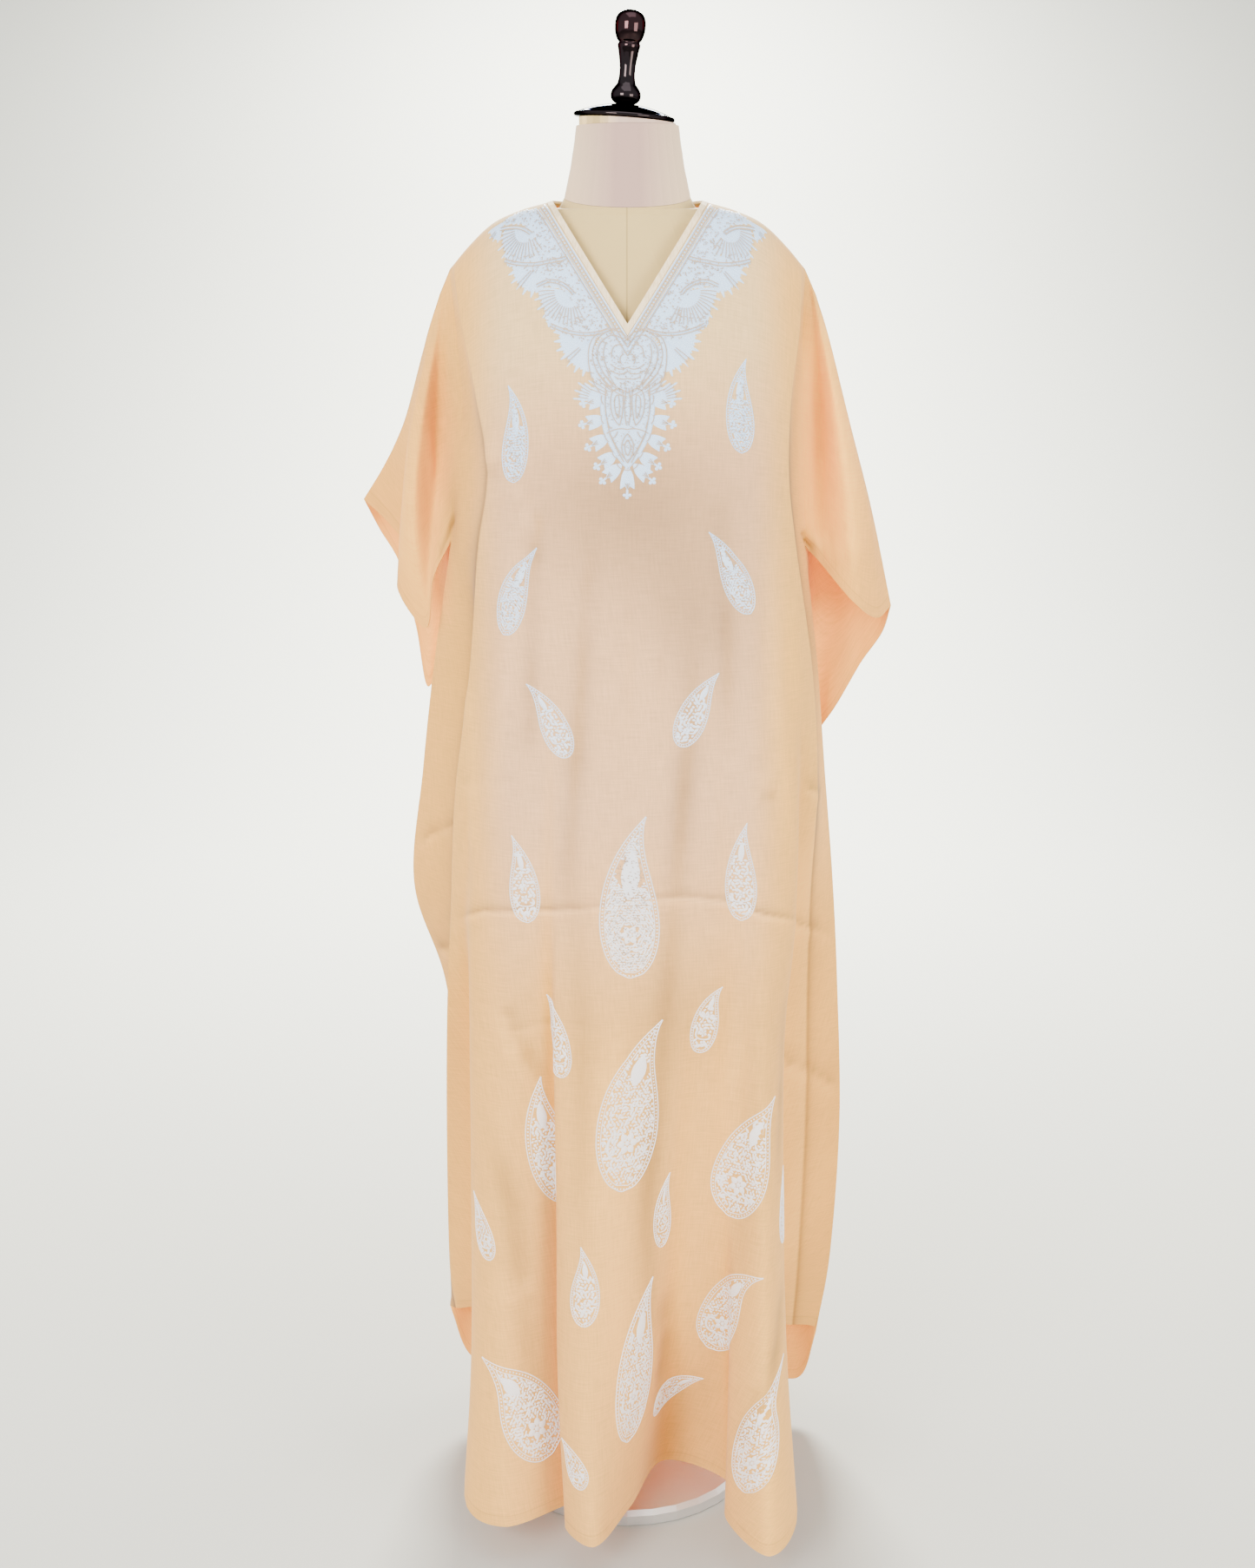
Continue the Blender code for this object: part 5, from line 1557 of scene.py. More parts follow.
    def place(self, flat: np.ndarray, lift: np.ndarray) -> np.ndarray:
        """Points on the creased cloth for flat places, lifted off it.

        Args:
            flat: (across, height) for each point, in millimetres.
            lift: how far each stands off the cloth, in millimetres.

        Returns:
            The points, in millimetres.
        """
        rows: dict[int, list[Run]] = {}
        for run in self.runs:
            rows.setdefault(run.number, []).append(run)
        heights = np.array([rows[number][0].height for number in range(len(rows))])
        normals = self.normals()
        index = np.clip(np.searchsorted(-heights, -flat[:, 1], side="right") - 1, 0, len(heights) - 2)
        share = np.clip((heights[index] - flat[:, 1]) / (heights[index] - heights[index + 1]), 0.0, 1.0)
        result = np.zeros((len(flat), 6))
        for number in np.unique(index):
            chosen = np.nonzero(index == number)[0]
            down = share[chosen, None]
            lines = [np.concatenate([run.across for run in rows[number + step]]) for step in (0, 1)]
            tables = [self.row_table(rows[number + step], normals) for step in (0, 1)]
            if len(lines[0]) == len(lines[1]):
                lines = [(1.0 - down) * lines[0] + down * lines[1]] * 2
            for line, table, weight in zip(lines, tables, (1.0 - down, down)):
                result[chosen] += weight * self.along_row(line, table, flat[chosen, 0])
        direction = result[:, 3:] / np.linalg.norm(result[:, 3:], axis=1)[:, None]
        return result[:, :3] + direction * lift[:, None]

    def row_table(self, runs: list[Run], normals: np.ndarray) -> np.ndarray:
        """Point and normal at each column of one row."""
        both = np.column_stack((self.points, normals))
        return np.concatenate([both[run.part] for run in runs])

    @staticmethod
    def along_row(line: np.ndarray, table: np.ndarray, across: np.ndarray) -> np.ndarray:
        """A row's table read at flat places.

        Args:
            line: flat place of each column, one line for all places or one for each.
            table: values at each column.
            across: the flat places.

        Returns:
            The values at each place.
        """
        line = np.broadcast_to(line, (len(across), line.shape[-1]))
        column = np.clip((line <= across[:, None]).sum(axis=1) - 1, 0, line.shape[1] - 2)
        each = np.arange(len(across))
        low, high = line[each, column], line[each, column + 1]
        t = np.clip((across - low) / np.maximum(high - low, 1e-6), 0.0, 1.0)[:, None]
        return (1.0 - t) * table[column] + t * table[column + 1]


def link(name: str, data: bpy.types.ID) -> bpy.types.Object:
    """A new object of the scene for a mesh, light or camera.

    Args:
        name: the object's name.
        data: the mesh, light or camera.

    Returns:
        The new object.
    """
    item = bpy.data.objects.new(name, data)
    bpy.context.scene.collection.objects.link(item)
    return item


def new_object(name: str, points: np.ndarray, faces: list, material: bpy.types.Material,
               sharp_degrees: float = 60.0) -> bpy.types.Object:
    """A smooth-shaded object of points in millimetres that rides on the part's body.

    Args:
        name: the new piece's name.
        points: its points.
        faces: the numbers of each face's points.
        material: its material.
        sharp_degrees: edges that turn further than this stay sharp.

    Returns:
        The new object.
    """
    mesh = bpy.data.meshes.new(name)
    mesh.from_pydata((np.asarray(points, float) * MM).tolist(), [], faces)
    mesh.shade_smooth()
    mesh.set_sharp_from_angle(angle=math.radians(sharp_degrees))
    mesh.materials.append(material)
    item = link(name, mesh)
    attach(item, "root")
    return item


def set_flat(mesh: bpy.types.Mesh, flat: np.ndarray) -> None:
    """Gives the mesh a UV map of its flat places in metres.

    Args:
        mesh: the mesh.
        flat: flat place of each vertex, in millimetres.
    """
    layer = mesh.uv_layers.new(name="flat")
    vertices = np.empty(len(mesh.loops), int)
    mesh.loops.foreach_get("vertex_index", vertices)
    layer.data.foreach_set("uv", (flat[vertices] * MM).ravel())


def bezier(a: Point, b: Point, c: Point, count: int) -> np.ndarray:
    """Points of the curve from a to c drawn towards b."""
    t = np.linspace(0.0, 1.0, count)[:, None]
    return (1 - t) ** 2 * np.array(a) + 2 * t * (1 - t) * np.array(b) + t ** 2 * np.array(c)


def heading(angle: float, sign: float = 1.0) -> np.ndarray:
    """The flat unit vector at an angle, mirrored where sign is negative."""
    return np.array((math.cos(angle) * sign, math.sin(angle)))


def sideways(path: np.ndarray) -> np.ndarray:
    """Unit vectors to the left of a flat path.

    Args:
        path: flat places along it.

    Returns:
        A vector for each place.
    """
    tangents = np.gradient(path, axis=0)
    tangents /= np.maximum(np.linalg.norm(tangents, axis=1), 1e-6)[:, None]
    return np.column_stack((-tangents[:, 1], tangents[:, 0]))


def inside(places: np.ndarray, region: np.ndarray) -> np.ndarray:
    """Whether each place lies in the region, by counting the edges that a level ray crosses.

    Args:
        places: the flat places.
        region: corners of the region, in flat places.

    Returns:
        True for each place inside.
    """
    x, y = places[:, 0], places[:, 1]
    result = np.zeros(len(places), bool)
    for (x0, y0), (x1, y1) in zip(region, np.roll(region, -1, axis=0)):
        if y0 != y1:
            crossing = x0 + (y - y0) / (y1 - y0) * (x1 - x0)
            result ^= ((y0 > y) != (y1 > y)) & (x < crossing)
    return result


class Stitching:
    """Raised stitches gathered in flat cloth places, made into one mesh at the end."""

    EDGE_LIFT = 0.06
    GROUND_PITCH = 2.0
    GROUND_STEP = 5.0
    # Share of the full width at even places from base to tip
    LEAF_SHAPE = (0.25, 0.78, 1.0, 0.92, 0.62, 0.08)
    PETAL_SHAPE = (0.35, 1.0, 0.95, 0.3)
    KNOT_SIDES = 6
    # Mosaic: share of knots, height of a row and how far stitches stray for a pitch of 1, and half
    # length, width and knot radius for a stitch of size 1
    KNOT_SHARE = 0.16
    ROW_RISE = 0.87
    STRAY = 0.16
    STITCH_HALF = 0.72
    STITCH_WIDTH = 0.78
    STITCH_KNOT = 0.42
    # Flower of radius 1: where its petals start, their width and the radius of the knot
    PETAL_START = 0.25
    PETAL_WIDTH = 0.62
    FLOWER_KNOT = 0.24

    def __init__(self) -> None:
        """Starts with no stitches."""
        self.flat: list[np.ndarray] = []
        self.lift: list[np.ndarray] = []
        self.gap: list[float] = []
        self.faces: list[list[int]] = []
        self.count = 0

    def put(self, flat: np.ndarray, lift: np.ndarray, faces: list[list[int]], gap: float = 0.0) -> None:
        """Adds points and the faces between them; gap 1 is cloth in the shadow between stitches.

        Args:
            flat: flat places, in millimetres.
            lift: how far each stands off the cloth.
            faces: the numbers of each face's points.
            gap: 0 for thread, 1 for shaded cloth.
        """
        self.flat.append(flat)
        self.lift.append(lift)
        self.gap += [gap] * len(flat)
        self.faces += [[v + self.count for v in face] for face in faces]
        self.count += len(flat)

    def ribbon(self, path: np.ndarray, width: float | np.ndarray, lift: float = 0.6) -> None:
        """A strand along a flat path, domed across, of one width or one for each point.

        Args:
            path: flat places along it.
            width: its width, in millimetres.
            lift: height of its crown.
        """
        path = np.asarray(path, float)
        half = np.broadcast_to(np.asarray(width, float) / 2, len(path))[:, None]
        side = sideways(path)
        count = len(path)
        flat = np.concatenate((path + side * half, path, path - side * half))
        edge = np.full(count, self.EDGE_LIFT)
        crown = lift * np.minimum(1.0, half[:, 0] * 2.0 + 0.2)
        faces = []
        for strip in (0, count):
            for i in range(count - 1):
                faces.append([strip + i, strip + i + 1, strip + count + i + 1, strip + count + i])
        self.put(flat, np.concatenate((edge, crown, edge)), faces)

    def line(self, path: np.ndarray, width: float = 1.1, lift: float = 1.3) -> None:
        """A fine dark line where two parts meet and shaded cloth shows between them.

        Args:
            path: flat places along it.
            width: its width, in millimetres.
            lift: how far it stands off the cloth, in millimetres.
        """
        path = np.asarray(path, float)
        side = sideways(path) * width / 2
        count = len(path)
        faces = [[i, i + 1, count + i + 1, count + i] for i in range(count - 1)]
        self.put(np.concatenate((path + side, path - side)), np.full(2 * count, lift), faces, 1.0)

    def ground(self, region: np.ndarray, lift: float = 0.35) -> None:
        """Fills a region with level satin stitches that lie low under other work.

        Args:
            region: corners of the region, in flat places.
            lift: how far it stands off the cloth, in millimetres.
        """
        pitch = self.GROUND_PITCH
        x, y = region[:, 0], region[:, 1]
        after_x, after_y = np.roll(x, -1), np.roll(y, -1)
        for height in np.arange(y.min() + pitch / 2, y.max(), pitch):
            cut = (y > height) != (after_y > height)
            share = (height - y[cut]) / (after_y[cut] - y[cut])
            ends = np.sort(x[cut] + share * (after_x[cut] - x[cut]))
            for start, end in zip(ends[::2], ends[1::2]):
                count = max(int((end - start) / self.GROUND_STEP), 1) + 1
                path = np.column_stack((np.linspace(start, end, count), np.full(count, height)))
                self.ribbon(path, pitch * 1.1, lift)

    def pits(self, region: np.ndarray, pitch: float, radius: float, seed: int) -> None:
        """Small dark gaps of painted shade scattered over a region.

        Args:
            region: corners of the region, in flat places.
            pitch: mean distance between them.
            radius: their size.
            seed: picks the uneven placing.
        """
        rng = np.random.default_rng(seed)
        low, high = region.min(axis=0), region.max(axis=0)
        places = rng.uniform(low, high, (int(np.prod(high - low) / pitch ** 2), 2))
        for place in places[inside(places, region)]:
            turn = rng.uniform(0.0, math.pi)
            half = heading(turn) * radius * 1.5
            self.line(np.linspace(place - half, place + half, 3), radius * 1.4)

    def leaf(self, base: Point, tip: Point, width: float, bend: float = 0.0, lift: float = 0.8) -> None:
        """A satin-stitched leaf or petal from base to tip, curved sideways by bend.

        Args:
            base: flat place where it starts.
            tip: flat place where it ends.
            width: its greatest width.
            bend: how far it bows to the left.
            lift: how far it stands off the cloth, in millimetres.
        """
        start, end = np.array(base, float), np.array(tip, float)
        along = end - start
        aside = np.array((-along[1], along[0])) / max(np.linalg.norm(along), 1e-6)
        path = bezier(start, (start + end) / 2 + aside * bend * 2, end, len(self.LEAF_SHAPE))
        self.ribbon(path, width * np.array(self.LEAF_SHAPE), lift)

    def dot(self, centre: Point, radius: float, lift: float = 0.8) -> None:
        """A small knot.

        Args:
            centre: its flat place.
            radius: its radius.
            lift: how far it stands off the cloth, in millimetres.
        """
        sides = self.KNOT_SIDES
        angles = np.arange(sides) * math.pi / 3
        ring = np.array(centre) + radius * np.column_stack((np.cos(angles), np.sin(angles)))
        lifts = np.full(sides + 1, self.EDGE_LIFT)
        lifts[sides] = lift
        self.put(np.vstack((ring, centre)), lifts, [[i, (i + 1) % sides, sides] for i in range(sides)])

    def knots(self, path: np.ndarray, pitch: float, radius: float) -> None:
        """Knots at an even pitch along a path.

        Args:
            path: flat places along it.
            pitch: distance between the knots.
            radius: radius of a knot.
        """
        along = lengths_along(path)
        for place in np.arange(pitch / 2, along[-1], pitch):
            self.dot(read_along(place, along, path), radius)

    def mosaic(self, region: np.ndarray, pitch: float, cover: float, focus: Point,
               clear: Sequence[tuple[Point, float]], seed: int, loose: float = 0.0) -> None:
        """Fills a region with small leaves and knots that turn about a focus.

        Args:
            region: corners of the region, in flat places.
            pitch: distance between stitches, in millimetres.
            cover: how much of that distance a stitch fills.
            focus: place that the stitches turn about.
            clear: (place, radius) of each spot that other stitches fill.
            seed: picks the uneven placing.
            loose: how uneven the stitches are in turn and size, from 0 to 1.
        """
        rng = np.random.default_rng(seed)
        low, high = region.min(axis=0), region.max(axis=0)
        rise = pitch * self.ROW_RISE
        places = np.array([(low[0] + pitch * (column + row % 2 / 2), low[1] + rise * row)
                           for row in range(int((high[1] - low[1]) / rise) + 1)
                           for column in range(int((high[0] - low[0]) / pitch) + 1)])
        places = places + rng.uniform(-self.STRAY, self.STRAY, places.shape) * pitch
        for place in places[inside(places, region)]:
            if any(math.dist(place, spot) < radius for spot, radius in clear):
                continue
            away = place - np.array(focus)
            spread = 0.9 + 0.9 * loose
            turn = math.atan2(away[1], away[0]) + math.pi / 2 + rng.uniform(-spread, spread)
            size = pitch * cover * (1.0 + loose * rng.uniform(-0.35, 0.45))
            ahead = heading(turn) * size * self.STITCH_HALF
            if rng.uniform() < self.KNOT_SHARE:
                self.dot(tuple(place), size * self.STITCH_KNOT)
            else:
                self.petal(tuple(place - ahead), tuple(place + ahead), size * self.STITCH_WIDTH)

    def petal(self, base: Point, tip: Point, width: float) -> None:
        """A short stitch of four points, pointed at both ends."""
        path = np.linspace(base, tip, len(self.PETAL_SHAPE))
        self.ribbon(path, width * np.array(self.PETAL_SHAPE), 0.7)

    def flower(self, centre: Point, radius: float, petals: int = 5, turn: float = 0.0) -> None:
        """A round flower of satin petals with a knot in the middle.

        Args:
            centre: its flat place.
            radius: its radius.
            petals: number of petals.
            turn: angle of the first petal, in radians.
        """
        for index in range(petals):
            reach = heading(turn + index * 2 * math.pi / petals) * radius
            near = np.array(centre) + reach * self.PETAL_START
            self.leaf(tuple(near), tuple(np.array(centre) + reach), radius * self.PETAL_WIDTH)
        self.dot(centre, radius * self.FLOWER_KNOT, 1.0)

    def build(self, name: str, cloth: ClothSheet, material: bpy.types.Material) -> bpy.types.Object:
        """The stitches as one mesh, laid on the cloth.

        Args:
            name: the new piece's name.
            cloth: the panel that they lie on.
            material: its material.

        Returns:
            The new object.
        """
        flat = np.concatenate(self.flat)
        points = cloth.place(flat, np.concatenate(self.lift))
        item = new_object(name, points, self.faces, material, 80.0)
        set_flat(item.data, flat)
        item.data.attributes.new("gap", "FLOAT", "POINT").data.foreach_set("value", self.gap)
        return item


@dataclass(frozen=True)
class Border:
    """A paisley's border, in millimetres: two strands with knots between them.

    Attributes:
        inset: how far in the inner strand lies.
        outer: width of the outer strand.
        inner: width of the inner strand.
        pitch: distance between the knots.
        knot: radius of a knot.
    """

    inset: float
    outer: float
    inner: float
    pitch: float
    knot: float


@dataclass(frozen=True)
class Paisley:
    """A paisley in the flat cloth.

    Attributes:
        tip: flat place of the point.
        foot: flat place of the round end.
        width: greatest width, in millimetres.
        bend: how far the spine bows to the left on its way from foot to tip.
        fill: how the inside is worked.
        seed: picks the uneven placing of the spray.
    """

    tip: Point
    foot: Point
    width: float
    bend: float
    fill: Fill
    seed: int = 0

    # Where it is widest, how pointed it is, and how much further the tip of an inner line draws in
    BULB = 0.32
    TIP_POWER = 1.25
    TIP_INSET = 2.6
    TIP_CLEAR = 2.2
    # Makes the greatest value of t ** 2 * (1 - t) equal to 1
    BOW_SCALE = 6.75
    # Points along the spine and along its outline
    SPINE_COUNT = 33
    OUTLINE_COUNT = 49
    # From this width on the border is the large one
    LARGE_FROM = 36
    LARGE_BORDER = Border(5.2, 1.3, 1.1, 3.9, 1.05)
    SMALL_BORDER = Border(3.4, 1.1, 0.9, 2.8, 0.75)

    def spine(self, count: int = SPINE_COUNT) -> np.ndarray:
        """Points from foot to tip; the bow grows towards the tip.

        Args:
            count: number of points.

        Returns:
            The flat places.
        """
        start, end = np.array(self.foot, float), np.array(self.tip, float)
        along = end - start
        aside = np.array((-along[1], along[0])) / np.linalg.norm(along)
        t = np.linspace(0.0, 1.0, count)
        bow = self.BOW_SCALE * t ** 2 * (1 - t) * self.bend
        return start + t[:, None] * along + bow[:, None] * aside

    def half_widths(self, inset: float, count: int = SPINE_COUNT) -> np.ndarray:
        """Half widths along the spine of the outline drawn in by inset.

        Args:
            inset: how far it is drawn in from the edge, in millimetres.
            count: number of places along the spine.

        Returns:
            A half width for each place.
        """
        t = np.linspace(0.0, 1.0, count)
        length = np.linalg.norm(np.array(self.tip) - np.array(self.foot))
        low = inset / length
        high = 1.0 - self.TIP_INSET * inset / length
        s = np.clip((t - low) / (high - low), 0.0, 1.0)
        rise = np.sqrt(np.clip(s / self.BULB * (2 - s / self.BULB), 0.0, 1.0))
        fall = np.cos(np.clip((s - self.BULB) / (1 - self.BULB), 0.0, 1.0) * math.pi / 2) ** self.TIP_POWER
        shape = np.where(s < self.BULB, rise, fall)
        return np.maximum(self.width / 2 - inset, 0.0) * shape

    def outline(self, inset: float) -> np.ndarray:
        """The closed outline drawn in by inset, from the foot round the left side.

        Args:
            inset: how far it is drawn in from the edge, in millimetres.

        Returns:
            The flat places.
        """
        t = 0.5 - 0.5 * np.cos(np.linspace(0.0, math.pi, self.OUTLINE_COUNT))
        base = np.linspace(0.0, 1.0, self.SPINE_COUNT)
        spine = read_along(t, base, self.spine())
        half = np.interp(t, base, self.half_widths(inset))
        low = np.linalg.norm(np.diff(self.spine()[[0, -1]], axis=0))
        keep = (t * low >= inset) & (t * low <= low - self.TIP_CLEAR * inset)
        side = read_along(t, base, sideways(self.spine()))
        left, right = (spine + side * half[:, None])[keep], (spine - side * half[:, None])[keep]
        return np.concatenate((left, right[::-1], left[:1]))

    def stitch(self, work: Stitching) -> None:
        """Works the border and the inside.

        Args:
            work: the stitches that it is added to.
        """
        border = self.LARGE_BORDER if self.width > self.LARGE_FROM else self.SMALL_BORDER
        work.ribbon(self.outline(0.4), border.outer, 0.7)
        work.ribbon(self.outline(border.inset), border.inner, 0.6)
        work.knots(self.outline(border.inset / 2 + 0.2), border.pitch, border.knot)
        self.stitch_inside(work, border.inset + 0.9)

    def at(self, share: float, inset: float) -> tuple[np.ndarray, np.ndarray, float]:
        """Spine point, unit vector to the left and half width at a share of the length.

        Args:
            share: share of the length from the foot.
            inset: how far it is drawn in from the edge, in millimetres.

        Returns:
            The point, the vector and the half width.
        """
        base = np.linspace(0.0, 1.0, self.SPINE_COUNT)
        middle = read_along(share, base, self.spine())
        aside = read_along(share, base, sideways(self.spine()))
        return middle, aside, float(np.interp(share, base, self.half_widths(inset)))

    def stitch_inside(self, work: Stitching, inset: float) -> None:
        """A satin drop under the tip, a bud and scrolls in the bulb, and small stitches round them.

        Args:
            work: the stitches that it is added to.
            inset: how far it is drawn in from the edge, in millimetres.
        """
        dense = self.fill is Fill.SATIN
        length = float(np.linalg.norm(np.array(self.tip) - np.array(self.foot)))
        scale = min(self.width / 60.0, 1.0)
        clear = []
        low, high = (0.5, 0.78) if dense else (0.6, 0.8)
        centre, aside, half = self.at(low, inset)
        peak = self.at(high, inset)[0]
        work.leaf(tuple(centre), tuple(peak), half * (0.9 if dense else 0.8), 0.0, 0.9)
        clear.append((tuple((centre + peak) / 2), length * (high - low) * 0.34))
        bud, aside, half = self.at(0.27, inset)
        ahead = np.array((aside[1], -aside[0]))
        radius = max(half * 0.42, 2.4)
        work.flower(tuple(bud), radius, 6 if self.width > 50 else 5, self.seed * 0.7)
        clear.append((tuple(bud), radius))
        for sign in (-1.0, 1.0):
            root = bud - ahead * radius * 1.5
            reach = root + aside * sign * half * 0.72 + ahead * radius * (1.6 + 0.3 * sign)
            curl = bezier(tuple(root), tuple(root + aside * sign * half * 0.95), tuple(reach), 12)
            work.ribbon(curl, np.linspace(1.5, 2.9, 12) * (0.6 + 0.5 * scale), 0.85)
            clear += [(tuple(place), 1.6) for place in curl[::3]]
        if dense:
            work.mosaic(self.outline(inset), 3.1, 0.95, tuple(bud), clear, self.seed)
            # Specks of painted shade between the close stitches
            work.pits(self.outline(inset + 0.8), 4.4, 0.55, self.seed)
        else:
            work.mosaic(self.outline(inset), 4.1, 0.78, tuple(bud), clear, self.seed, 0.8)


# The paisleys. Columns: tip and foot in the flat cloth, width, bend, fill, seed
UPPER_PAISLEYS = (
    Paisley((-124, 1291), (-118, 1189), 29, -7, Fill.SATIN, 1),
    Paisley((123, 1318), (118, 1220), 31, 6, Fill.SATIN, 2),
    Paisley((-93, 1121), (-141, 1029), 31, 5, Fill.SATIN, 3),
    Paisley((84, 1136), (124, 1050), 32, -6, Fill.SATIN, 4),
    Paisley((-122, 982), (-80, 905), 31, -6, Fill.SPRAY, 5),
    Paisley((84, 994), (36, 917), 32, 5, Fill.SPRAY, 6),
    Paisley((-146, 820), (-133, 726), 33, -5, Fill.SPRAY, 7),
    Paisley((107, 833), (97, 726), 34, 5, Fill.SPRAY, 8),
    Paisley((0, 845), (-26, 668), 64, 12, Fill.SATIN, 9),
)
LOWER_PAISLEYS = (
    Paisley((77, 650), (50, 576), 30, 6, Fill.SPRAY, 10),
    Paisley((-122, 645), (-102, 556), 30, -4, Fill.SPRAY, 11),
    Paisley((10, 618), (-36, 430), 72, 16, Fill.SPRAY, 12),
    Paisley((-141, 551), (-138, 402), 56, 9, Fill.SPRAY, 13),
    Paisley((147, 524), (99, 386), 68, 10, Fill.SPRAY, 14),
    Paisley((-257, 416), (-240, 346), 30, -4, Fill.SPRAY, 15),
    Paisley((192, 436), (206, 350), 32, 4, Fill.SPRAY, 16),
    Paisley((28, 439), (21, 350), 25, 5, Fill.SPRAY, 17),
    Paisley((-83, 376), (-84, 286), 33, -5, Fill.SPRAY, 18),
    Paisley((162, 330), (98, 214), 62, 20, Fill.SPRAY, 19),
    Paisley((10, 321), (-22, 138), 60, 10, Fill.SPRAY, 20),
    Paisley((108, 172), (43, 137), 32, 3, Fill.SPRAY, 21),
    Paisley((243, 232), (270, 98), 60, 27, Fill.SPRAY, 22),
    Paisley((-272, 232), (-196, 116), 74, -16, Fill.SPRAY, 23),
    Paisley((-124, 153), (-90, 110), 30, -4, Fill.SPRAY, 24),
)


@dataclass(frozen=True)
class Fan:
    """A ribbed fan or, where solid, a pleated satin triangle.

    Attributes:
        hinge: flat place where the ribs meet.
        radius: length of the ribs.
        start: angle of the first rib, in degrees from +across, turning towards up.
        end: angle of the last rib.
        ribs: number of ribs.
        solid: whether satin fills the fan between the ribs.
    """

    # Share of the full width at even places along a rib
    RIB_SHAPE = (0.35, 0.5, 0.65, 0.8, 0.95, 0.25)
    # Shares of the radius: where ribs start, how far the ground reaches, where rim petals start
    RIB_START = 0.1
    GROUND_REACH = 0.9
    RIM_START = 0.98
    # In an open and in a solid fan: how much every other rib is longer, and how wide ribs are
    WAVES = (0.05, 0.07)
    RIB_COVERS = (0.8, 0.98)
    # Width of the two ribs beside the middle of a solid fan
    SPLIT_COVER = 0.5
    # Length past the rim and width of a rim petal
    RIM_PETAL = (4.2, 1.9)

    hinge: Point
    radius: float
    start: float
    end: float
    ribs: int
    solid: bool

    def stitch(self, work: Stitching, sign: float) -> None:
        """Works the fan, mirrored where sign is negative.

        Args:
            work: the stitches that it is added to.
            sign: 1 for the right half, -1 for the left one.
        """
        hinge = np.array((self.hinge[0] * sign, self.hinge[1]))
        angles = np.radians(np.linspace(self.start, self.end, self.ribs))
        inner = self.radius * self.RIB_START
        pitch = self.radius * abs(angles[1] - angles[0])
        split = self.ribs // 2
        sector = np.linspace(angles[0], angles[-1], 12)
        rim = np.column_stack((np.cos(sector) * sign, np.sin(sector))) * self.radius * self.GROUND_REACH
        work.ground(np.vstack((hinge, hinge + rim)))
        for number, angle in enumerate(angles):
            direction = heading(angle, sign)
            reach = self.radius * (1.0 + self.WAVES[self.solid] * (-1) ** number)
            path = hinge + direction * np.linspace(inner, reach, len(self.RIB_SHAPE))[:, None]
            share = self.RIB_COVERS[self.solid]
            if self.solid and number in (split - 1, split):
                share = self.SPLIT_COVER
            work.ribbon(path, np.array(self.RIB_SHAPE) * pitch * share, 0.7)
            if not self.solid and number % 2 == 0:
                past, width = self.RIM_PETAL
                work.petal(tuple(hinge + direction * self.radius * self.RIM_START),
                           tuple(hinge + direction * (self.radius + past)), width)
            # Lines of painted shade between the ribs, or, in a solid fan, beside its middle
            if number and (not self.solid or number in (split, split + 1)):
                ahead = heading(angle - (angles[1] - angles[0]) / 2, sign)
                along = np.linspace(max(0.3, 2.2 / pitch), 0.97, 5)[:, None]
                work.line(hinge + ahead * self.radius * along, 0.8)
        if not self.solid:
            work.flower(tuple(hinge), 4.6, 6)


